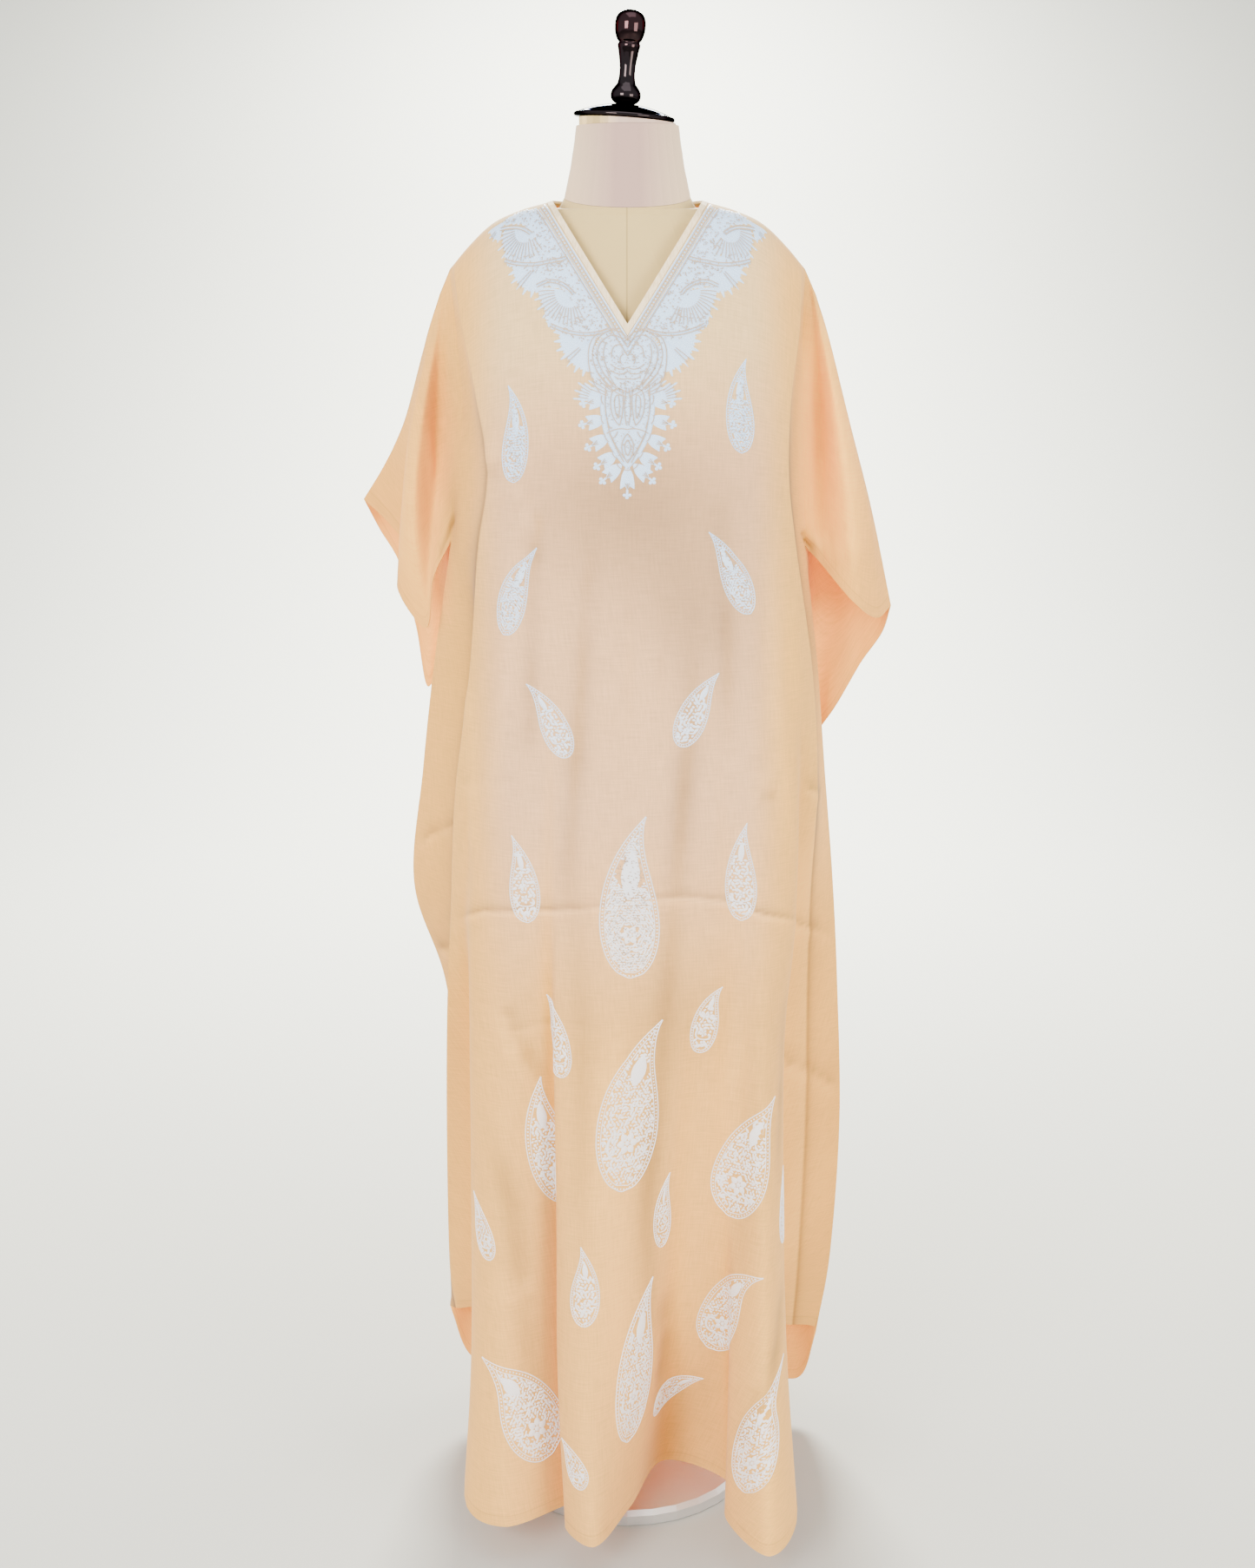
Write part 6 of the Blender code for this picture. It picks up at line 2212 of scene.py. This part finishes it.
@dataclass(frozen=True)
class Yoke:
    """Embroidery round the V neck: band, shells, heart, leaves and bell flowers, alike on both sides."""

    # The band's two edges, in millimetres from the edge of the V
    band_near: float = 1.2
    band_far: float = 9.2
    fans: tuple[Fan, ...] = (
        Fan((103, 1443), 31, -128, 18, 17, False),
        Fan((85, 1410), 36, -84, 3, 13, True),
        Fan((58, 1376), 33, -122, 8, 17, False),
        Fan((33, 1334), 39, -86, 4, 15, True),
        Fan((130, 1459), 19, -68, -6, 7, True),
        Fan((2, 1268), 39, 18, 62, 8, False),
        Fan((22, 1270), 29, 4, 40, 6, False),
    )
    # Regions between shells and band, each with the place that its stitches turn about
    fillings: tuple[tuple[tuple[Point, ...], Point], ...] = (
        (((134, 1458), (118, 1463), (94, 1462), (92, 1460), (62, 1412), (68, 1408), (92, 1413), (101, 1432),
          (106, 1448)), (103, 1443)),
        (((34, 1331), (38, 1300), (30, 1284), (4, 1272), (4, 1280), (26, 1298), (31, 1316)), (0, 1305)),
        (((87, 1404), (62, 1408), (59, 1406), (21, 1346), (34, 1340), (52, 1344), (56, 1366), (66, 1380),
          (88, 1382)), (58, 1376)),
        (((18, 1342), (52, 1354), (84, 1358), (80, 1342), (46, 1328), (16, 1334)), (50, 1340)),
        (((59, 1406), (92, 1414), (128, 1424), (124, 1412), (92, 1396), (62, 1400)), (90, 1404)),
    )
    scrolls: tuple[Curve, ...] = (
        ((127, 1418), (96, 1398), (62, 1409)),
        ((134, 1452), (112, 1450), (99, 1437)),
        ((78, 1344), (44, 1328), (18, 1340)),
        ((92, 1384), (68, 1392), (54, 1374)),
    )
    bells: tuple[tuple[Point, Point], ...] = (
        ((25, 1271), (47, 1267)),
        ((25, 1252), (48, 1246)),
        ((21, 1234), (42, 1223)),
        ((13, 1217), (33, 1204)),
        ((8, 1206), (27, 1189)),
    )
    pendant: tuple[Point, ...] = ((0, 1290), (24, 1286), (27, 1262), (24, 1240), (13, 1218), (0, 1202))
    pendant_upper: Curve = ((26.0, 1286.0), (29.0, 1262.0), (23.0, 1238.0))
    pendant_lower: Curve = ((23.0, 1238.0), (15.0, 1218.0), (0.0, 1203.0))
    # From the pendant's edge to its knots, and from these to the line inside them
    knots_inset: Point = (3.0, -1.4)
    line_inset: Point = (1.6, -0.6)
    # Right half of the heart's outline
    heart: tuple[Point, ...] = ((0, 1326), (7, 1333), (17, 1335), (28, 1327), (31.5, 1314), (26, 1298),
                                (13, 1284), (0, 1277))
    # Dark curved lines of painted shade in the right half, each drawn from the first place to the last: in
    # the heart, round it, and in the pendant with its two leaves and its drop
    veins: tuple[Curve, ...] = (
        ((4, 1324), (17, 1328), (16, 1312)),
        ((0, 1303), (8, 1298), (17, 1306)),
        ((0, 1299), (8, 1293), (17, 1300)),
        ((4, 1316), (10, 1312), (6, 1306)),
        ((22, 1326), (28, 1312), (17, 1296)),
        ((0, 1292), (8, 1290), (13, 1294)),
        ((9, 1340), (46, 1342), (38, 1300)),
        ((38, 1300), (36, 1288), (28, 1279)),
        ((1, 1283), (5, 1264), (1, 1246)),
        ((5, 1281), (18, 1286), (17, 1266)),
        ((17, 1266), (16, 1252), (8, 1246)),
        ((5, 1281), (3, 1262), (8, 1246)),
        ((9, 1276), (14, 1276), (13, 1265)),
        ((13, 1265), (12, 1256), (9, 1253)),
        ((9, 1276), (7, 1264), (9, 1253)),
        ((21, 1280), (25, 1262), (18, 1243)),
        ((0, 1242), (10, 1245), (21, 1238)),
        ((0, 1238), (12, 1226), (0, 1209)),
        ((0, 1232), (6, 1225), (0, 1216)),
        ((18, 1238), (14, 1228), (4, 1210)),
        ((10, 1240), (12, 1234), (16, 1233)),
    )

    def stitch(self, work: Stitching) -> None:
        """Works all parts on both sides, and the lowest bell.

        Args:
            work: the stitches that it is added to.
        """
        for sign in (-1.0, 1.0):
            mirror = np.array((sign, 1.0))
            self.band(work, sign)
            for fan in self.fans:
                fan.stitch(work, sign)
            for number, (corners, focus) in enumerate(self.fillings):
                work.ground(np.array(corners) * mirror)
                work.mosaic(np.array(corners) * mirror, 3.9, 0.8, (focus[0] * sign, focus[1]),
                            [((focus[0] * sign, focus[1]), 6.0)], number + 40)
                # Specks of painted shade between the stitches
                work.pits(np.array(corners) * mirror, 3.6, 0.6, number + 40)
            for start, middle, end in self.scrolls:
                path = bezier(start, middle, end, 20) * mirror
                work.ribbon(path, 2.4, 1.4)
                # Lines of painted shade along both sides of the scroll
                for offset in (-1.5, 1.5):
                    work.line(path + sideways(path) * offset, 1.0)
            for base, tip in self.bells:
                self.bell(work, (base[0] * sign, base[1]), (tip[0] * sign, tip[1]))
            self.half_heart(work, sign)
            self.half_pendant(work, sign)
            # The veins: lines of painted shade
            for start, middle, end in self.veins:
                work.line(bezier(start, middle, end, 12) * mirror, 0.95)
        self.bell(work, (0.0, 1203.0), (0.0, 1173.0))

    def band(self, work: Stitching, sign: float) -> None:
        """Rails along the V with a row of knots between them, and lines of painted shade beside the rails.

        Args:
            work: the stitches that it is added to.
            sign: 1 for the right half, -1 for the left one.
        """
        top = np.array((NECK_POINT_X, NECK_POINT_Z - 2.0))
        foot = np.array((0.0, NECK_POINT_Z + (UNDERARM_Z - NECK_POINT_Z) * V_ROW / UNDERARM_ROW))
        along = (foot - top) / np.linalg.norm(foot - top)
        out = np.array((-along[1], along[0]))
        mirror = np.array((sign, 1.0))

        def rail(offset: float) -> np.ndarray:
            """The line beside the V edge at an offset, down to the centre."""
            end = foot - np.array((0.0, offset / abs(along[0])))
            return np.linspace(top + out * offset, end, 40)

        for offset, width in ((self.band_near, 1.8), (self.band_far - 2.2, 0.9), (self.band_far, 1.6)):
            work.ribbon(rail(offset) * mirror, width, 0.8)
        middle = rail((self.band_near + self.band_far - 1.8) / 2)
        work.knots(middle * mirror, 3.6, 1.25)
        # Lines of painted shade beside the rails and the knots
        for offset in (self.band_near + 1.5, self.band_far - 3.2, self.band_far + 1.3):
            work.line(rail(offset) * mirror, 0.9)

    def bell(self, work: Stitching, base: Point, tip: Point) -> None:
        """A bell flower of three petals with a trefoil of knots at its mouth, lines of painted shade
        between the petals and a dark foot of painted shade.

        Args:
            work: the stitches that it is added to.
            base: flat place where it starts.
            tip: flat place where it ends.
        """
        start, end = np.array(base), np.array(tip)
        along = end - start
        length = float(np.linalg.norm(along))
        ahead = along / length
        aside = np.array((-ahead[1], ahead[0]))
        mouth = start + ahead * length * 0.72
        for spread in (-1.0, 0.0, 1.0):
            work.leaf(tuple(start - ahead * 2.5), tuple(mouth + aside * spread * 7.0 - ahead * abs(spread)),
                      8.8, -1.6 * spread)
            work.line(np.linspace(mouth - ahead * 1.0, mouth - ahead * 7.0 + aside * spread * 2.0, 4), 0.7)
        work.line(bezier(start - aside * 4.5, start + ahead * 2.4, start + aside * 4.5, 8), 0.9)
        work.ribbon(np.linspace(mouth, end - ahead * 1.6, 3), 2.2)
        for turn in (-1.0, 0.0, 1.0):
            work.dot(tuple(end - ahead * (2.6 * abs(turn)) + aside * turn * 2.7), 1.9)

    def half_heart(self, work: Stitching, sign: float) -> None:
        """One half of the heart: a filling flecked with painted shade, in an outline with knots round it
        between lines of painted shade.

        Args:
            work: the stitches that it is added to.
            sign: 1 for the right half, -1 for the left one.
        """
        mirror = np.array((sign, 1.0))
        last = len(self.heart) - 1
        outline = spline(range(last + 1), np.array(self.heart), np.linspace(0, last, 40))
        region = np.vstack((outline, self.heart[-1], self.heart[0])) * mirror
        work.ground(region)
        work.pits(region, 3.2, 0.55, 50)
        outline = outline * mirror
        aside = sideways(outline) * sign
        work.ribbon(outline, 1.5, 0.9)
        work.line(outline - aside * 1.2, 0.9)
        work.knots(outline + aside * 2.0, 3.0, 1.1)
        work.line(outline + aside * 3.6, 0.9)

    def half_pendant(self, work: Stitching, sign: float) -> None:
        """One half of the pendant: its satin ground, flecked with painted shade, and a beaded outline with
        a line of painted shade inside it.

        Args:
            work: the stitches that it is added to.
            sign: 1 for the right half, -1 for the left one.
        """
        mirror = np.array((sign, 1.0))
        work.ground(np.array(self.pendant) * mirror)
        outer = np.concatenate((bezier(*self.pendant_upper, 14), bezier(*self.pendant_lower, 16)[1:]))
        work.ribbon(outer * mirror, 1.5, 0.9)
        inner = (outer - np.array(self.knots_inset))[:26] * mirror
        work.knots(inner, 2.8, 1.0)
        work.line(inner - np.array(self.line_inset) * mirror, 0.8)
        work.pits(np.array(self.pendant) * mirror * np.array((0.8, 1.0)), 4.0, 0.5, 61)


@dataclass
class Kaftan:
    """The kaftan: its two panels, neck binding and embroidery.

    Attributes:
        front_density: how many times finer than the solids the front is laid.
        back_density: the same for the back.
        front_flat: width and length of the front's cut, in metres, measured along the laid cloth; it
        is widest at the hem. It is not used.
        back_flat: the same for the back, which is widest across both sleeves. It is not used.
        front_area: area of the front's cut, in square metres. It is not used.
        back_area: area of the back's cut. It is not used.
    """

    front_density: int = 4
    back_density: int = 4
    front_flat: tuple[float, float] = (1.48, 1.5)
    back_flat: tuple[float, float] = (1.17, 1.48)
    front_area: float = 1.12
    back_area: float = 0.86
    pieces: dict[str, bpy.types.Object] = field(default_factory=dict)

    # Rows under the shoulder, spans of each section below the underarm, and the rows beside the
    # hem's edge, in millimetres above it
    SHOULDER_PLACES = (0.0, 0.03, 0.06, 0.1, 0.15, 0.2, 0.3, 0.4)
    SECTION_SPANS = (15, 14, 42, 24, 20, 18, 17)
    HEM_ROWS = (13.5, 10.5)

    def row_places(self) -> list[float]:
        """Section places of the rows, close under the shoulder and at the hem.

        Returns:
            The places, from the shoulder down.
        """
        places = list(self.SHOULDER_PLACES)
        places += list(np.linspace(0.5, V_ROW, 12))
        places += list(np.linspace(V_ROW, UNDERARM_ROW, 28)[1:])
        for section, count in zip(range(UNDERARM_ROW, HEM_ROW), self.SECTION_SPANS):
            places += list(np.linspace(section, section + 1, count + 1)[1:])
        last_section = SECTION_HEIGHTS[-2] - HEM_Z
        places += [HEM_ROW - height / last_section for height in self.HEM_ROWS]
        return sorted(round(float(place), 5) for place in places)

    def build(self) -> None:
        """Builds all pieces."""
        cloth = CREPE.build()
        floss = FLOSS.build()
        rows = self.row_places()
        front = ClothSheet(PanelCut(Layer.FRONT, FRONT_LINES, FRONT_STEPS, self.front_density), rows,
                           FRONT_CREASES, FRONT_SHADES)
        back = ClothSheet(PanelCut(Layer.BACK, BACK_LINES, BACK_STEPS, self.back_density), rows,
                          BACK_CREASES)
        self.pieces["cloth_front"] = front.build("cloth_front", cloth)
        self.pieces["cloth_back"] = back.build("cloth_back", cloth)
        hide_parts("kaftan_front")
        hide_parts("kaftan_back")
        groups: tuple[tuple[str, Sequence], ...] = (("stitched_yoke", (Yoke(),)),
                                                    ("stitched_paisleys_upper", UPPER_PAISLEYS),
                                                    ("stitched_paisleys_lower", LOWER_PAISLEYS))
        for name, motifs in groups:
            work = Stitching()
            for motif in motifs:
                motif.stitch(work)
            self.pieces[name] = work.build(name, front, floss)
        for name, piece in self.pieces.items():
            LOG.info("%s: %d faces", name, len(piece.data.polygons))
        self.dress_binding()

    def dress_binding(self) -> None:
        """Rounds the neck binding's edges and gives it its cloth."""
        node = frame["nodes"]["neck_binding"]
        dress_node(node, BINDING.build(), 0.7)
        LOG.info("neck_binding: rounded")


BEVEL_SEGMENTS = 3
# Edges sharper than this are rounded
BEVEL_DEGREES = 35.0


def dress_node(node: bpy.types.Object, material: bpy.types.Material, bevel_mm: float = 0.0) -> None:
    """Gives a CAD node its finish and, where bevel_mm is set, rounded edges.

    Args:
        node: the node.
        material: its material.
        bevel_mm: width of the rounding, or 0.
    """
    node.data.materials.clear()
    node.data.materials.append(material)
    if bevel_mm:
        bevel = node.modifiers.new("rounded", "BEVEL")
        bevel.width = bevel_mm * MM
        bevel.segments = BEVEL_SEGMENTS
        bevel.limit_method = "ANGLE"
        bevel.angle_limit = math.radians(BEVEL_DEGREES)


@dataclass(frozen=True)
class Turned:
    """A piece turned on a lathe from a (radius, height) profile in millimetres.

    Attributes:
        name: the piece's name.
        profile: its outline from the foot up, beginning and ending on the axis.
        foot: where the profile's (0, 0) is.
        tilt: how far its axis leans to the right, in radians.
        sides: number of points round it.
        finer: spans laid between neighbouring points of the profile.
    """

    name: str
    profile: tuple[Point, ...]
    foot: Place
    tilt: float
    sides: int = 96
    finer: int = 4

    def build(self, material: bpy.types.Material) -> bpy.types.Object:
        """The turned piece, smooth between the points of its profile.

        Args:
            material: its material.

        Returns:
            The new object.
        """
        table = np.array([place for place in self.profile if place[0] > 0], float)
        chords = lengths_along(table, 0.5)
        places = np.unique(np.concatenate([np.linspace(a, b, self.finer + 1)
                                           for a, b in zip(chords, chords[1:])]))
        rings = np.maximum(spline(chords, table, places), (0.5, 0.0))
        angles = np.arange(self.sides) * 2 * math.pi / self.sides
        cos_tilt, sin_tilt = math.cos(self.tilt), math.sin(self.tilt)
        points = []
        for radius, height in rings:
            for angle in angles:
                x, y = radius * math.cos(angle), radius * math.sin(angle)
                points.append((self.foot[0] + x * cos_tilt + height * sin_tilt, self.foot[1] + y,
                               self.foot[2] - x * sin_tilt + height * cos_tilt))
        faces = [list(range(self.sides))[::-1]]
        for level in range(len(rings) - 1):
            low, high = level * self.sides, (level + 1) * self.sides
            for side in range(self.sides):
                after = (side + 1) % self.sides
                faces.append([low + side, low + after, high + after, high + side])
        last = (len(rings) - 1) * self.sides
        faces.append([last + side for side in range(self.sides)])
        return new_object(self.name, np.array(points), faces, material, 50.0)


@dataclass
class DressForm:
    """The dress form: torso, neck, cap, finial, pole and base.

    Attributes:
        cap_foot: middle of the cap's underside.
        cap_tilt: how far cap and finial lean to the right, in radians.
        cap_rise: how far up the cap's axis the finial starts.
        cap_profile: the cap's (radius, height) outline.
        finial_profile: the finial's outline.
    """

    cap_foot: Place = (-3.5, 0.0, 1547.0)
    cap_tilt: float = math.radians(4.0)
    cap_rise: float = 15.3
    cap_profile: tuple[Point, ...] = ((0, 0), (49, 0), (51.5, 1), (52.3, 2.6), (51.5, 4.4), (48.5, 5.6),
                                      (46, 6.6), (38, 9.6), (28, 12.4), (19, 14.2), (12, 15), (0, 15))
    finial_profile: tuple[Point, ...] = (
        (0, 0), (9, 0), (11.5, 1.2), (14.4, 4), (15.6, 8), (15, 12), (12.6, 16), (9.6, 20), (8.4, 25),
        (8, 31), (8.2, 37), (9.2, 44), (10.4, 51), (11.6, 58), (10.6, 60), (12.6, 62.5), (15, 69),
        (15.8, 76), (15, 83), (12, 88), (7, 91.2), (0, 92.4))

    def build(self) -> None:
        """Turns cap and finial anew and dresses the other pieces."""
        lacquer = LACQUER.build()
        cap = Turned("turned_cap", self.cap_profile, self.cap_foot, self.cap_tilt).build(lacquer)
        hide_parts("form_cap")
        foot = (self.cap_foot[0] + self.cap_rise * math.sin(self.cap_tilt), 0.0,
                self.cap_foot[2] + self.cap_rise * math.cos(self.cap_tilt))
        finial = Turned("turned_finial", self.finial_profile, foot, self.cap_tilt).build(lacquer)
        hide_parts("form_finial")
        for piece in (cap, finial):
            LOG.info("%s: turned", piece.name)
        # Columns: node, finish, slot, width of the rounded edges
        dressed = (("form_torso", BODY_COVER, "form_cover", 0.0),
                   ("form_neck", NECK_COVER, "neck_cover", 1.0),
                   ("form_cap_seat", BAND, "cap_band", 0.3),
                   ("form_pole", STEEL, "pole", 1.0),
                   ("form_base", SPUN_STEEL, "base", 1.5))
        for name, finish, slot, bevel in dressed:
            node = frame["nodes"][name]
            dress_node(node, finish.build(), bevel)
            LOG.info("%s: dressed", name)


@dataclass
class Studio:
    """Pale floor and backdrop in one sweep, soft lights and the camera.

    Attributes:
        camera_place: the camera in metres.
        pitch: how far it looks down, in degrees.
        focal_px: focal length in pixels of a frame 1445 wide and 1806 high.
        frame_height_px: that frame's height.
        sensor_mm: height and width of the camera's sensor.
        paper: colour of floor and backdrop.
        air: colour of the light from all round.
        air_strength: how strong that light is.
        sweep_start: where the floor's front edge is, in metres to the back.
        curve_start: where the floor begins to curve up.
        curve_radius: radius of that curve.
        curve_steps: number of its faces.
        sweep_half: half width of the paper.
        wall_top: height of the wall.
        lights: the softboxes.
    """

    camera_place: Place = (0.0, -2.2, 1.406)
    pitch: float = 14.4
    focal_px: float = 2345.0
    frame_height_px: float = 1806.0
    sensor_mm: float = 36.0
    paper: str = "#A2A39F"
    air: str = "#E9EBEC"
    air_strength: float = 1.65
    sweep_start: float = -6.0
    curve_start: float = 2.6
    curve_radius: float = 1.6
    curve_steps: int = 16
    sweep_half: float = 9.0
    wall_top: float = 7.0
    # Columns: name, place, target, size, watts, colour
    lights: tuple[tuple[str, Place, Place, float, float, str], ...] = (
        ("key", (-1.5, -2.7, 1.9), (0.0, 0.0, 0.75), 1.3, 190.0, "#FFF6EA"),
        ("fill", (2.3, -2.4, 1.3), (0.0, 0.0, 0.7), 1.6, 130.0, "#FFF6E6"),
        ("top", (0.2, -0.6, 3.2), (0.0, 0.0, 0.8), 1.6, 30.0, "#FFFFFF"),
        ("back_left", (-2.4, 1.5, 1.9), (-0.2, 0.0, 1.1), 1.0, 60.0, "#FFF0D8"),
        ("back_right", (2.4, 1.5, 1.9), (0.2, 0.0, 1.1), 1.0, 60.0, "#FFF0D8"),
        ("floor_wash", (0.0, 2.8, 2.6), (0.0, 2.8, 0.0), 1.0, 860.0, "#FFFFF4"),
    )

    def build(self) -> None:
        """Sets the stage."""
        self.sweep()
        self.world()
        for name, place, target, size, watts, colour in self.lights:
            self.light(name, place, target, size, watts, colour)
        self.camera()
        LOG.info("studio: floor, %d lights and camera", len(self.lights))

    def sweep(self) -> None:
        """Seamless paper: floor, a wide curve and a wall."""
        radius = self.curve_radius
        profile = [(self.sweep_start, 0.0), (self.curve_start, 0.0)]
        for step in range(1, self.curve_steps + 1):
            angle = math.pi / 2 * step / self.curve_steps
            profile.append((self.curve_start + radius * math.sin(angle), radius - radius * math.cos(angle)))
        profile.append((self.curve_start + radius, self.wall_top))
        points = [(x, y, z) for y, z in profile for x in (-self.sweep_half, self.sweep_half)]
        faces = [[2 * i, 2 * i + 1, 2 * i + 3, 2 * i + 2] for i in range(len(profile) - 1)]
        mesh = bpy.data.meshes.new("paper_sweep")
        mesh.from_pydata(points, [], faces)
        mesh.shade_smooth()
        mesh.materials.append(Paper("paper_seamless_matt", self.paper, 0.92).build())
        link("paper_sweep", mesh)

    def world(self) -> None:
        """Even pale light from all round."""
        world = bpy.data.worlds.new("studio_air")
        world.use_nodes = True
        background = world.node_tree.nodes["Background"]
        background.inputs["Color"].default_value = linear(self.air)
        background.inputs["Strength"].default_value = self.air_strength
        bpy.context.scene.world = world

    def light(self, name: str, place: Place, target: Place, size: float, watts: float,
              colour: str) -> None:
        """A square softbox aimed at a target.

        Args:
            name: the light's name.
            place: where it stands, in metres.
            target: where it points.
            size: length of its side.
            watts: its power.
            colour: its colour as #RRGGBB.
        """
        data = bpy.data.lights.new(name, "AREA")
        data.shape = "SQUARE"
        data.size = size
        data.energy = watts
        data.color = linear(colour)[:3]
        item = link(name, data)
        item.location = place
        item.rotation_euler = aim(place, target)

    def camera(self) -> None:
        """The camera at the photograph's angle, without shift."""
        data = bpy.data.cameras.new("camera")
        data.sensor_width = self.sensor_mm
        data.lens = self.focal_px / self.frame_height_px * self.sensor_mm
        data.dof.use_dof = False
        item = link("camera", data)
        item.location = self.camera_place
        item.rotation_euler = (math.radians(90.0 - self.pitch), 0.0, 0.0)
        bpy.context.scene.camera = item


def aim(place: Sequence[float], target: Sequence[float]) -> Place:
    """Rotation that turns a light at place towards target."""
    dx, dy, dz = (b - a for a, b in zip(place, target))
    return (math.atan2(math.hypot(dx, dy), -dz), 0.0, math.atan2(dy, dx) - math.pi / 2)


def main() -> None:
    """Builds the kaftan, the dress form and the studio."""
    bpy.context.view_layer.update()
    Kaftan().build()
    DressForm().build()
    Studio().build()


if __name__ == "__main__":
    main()
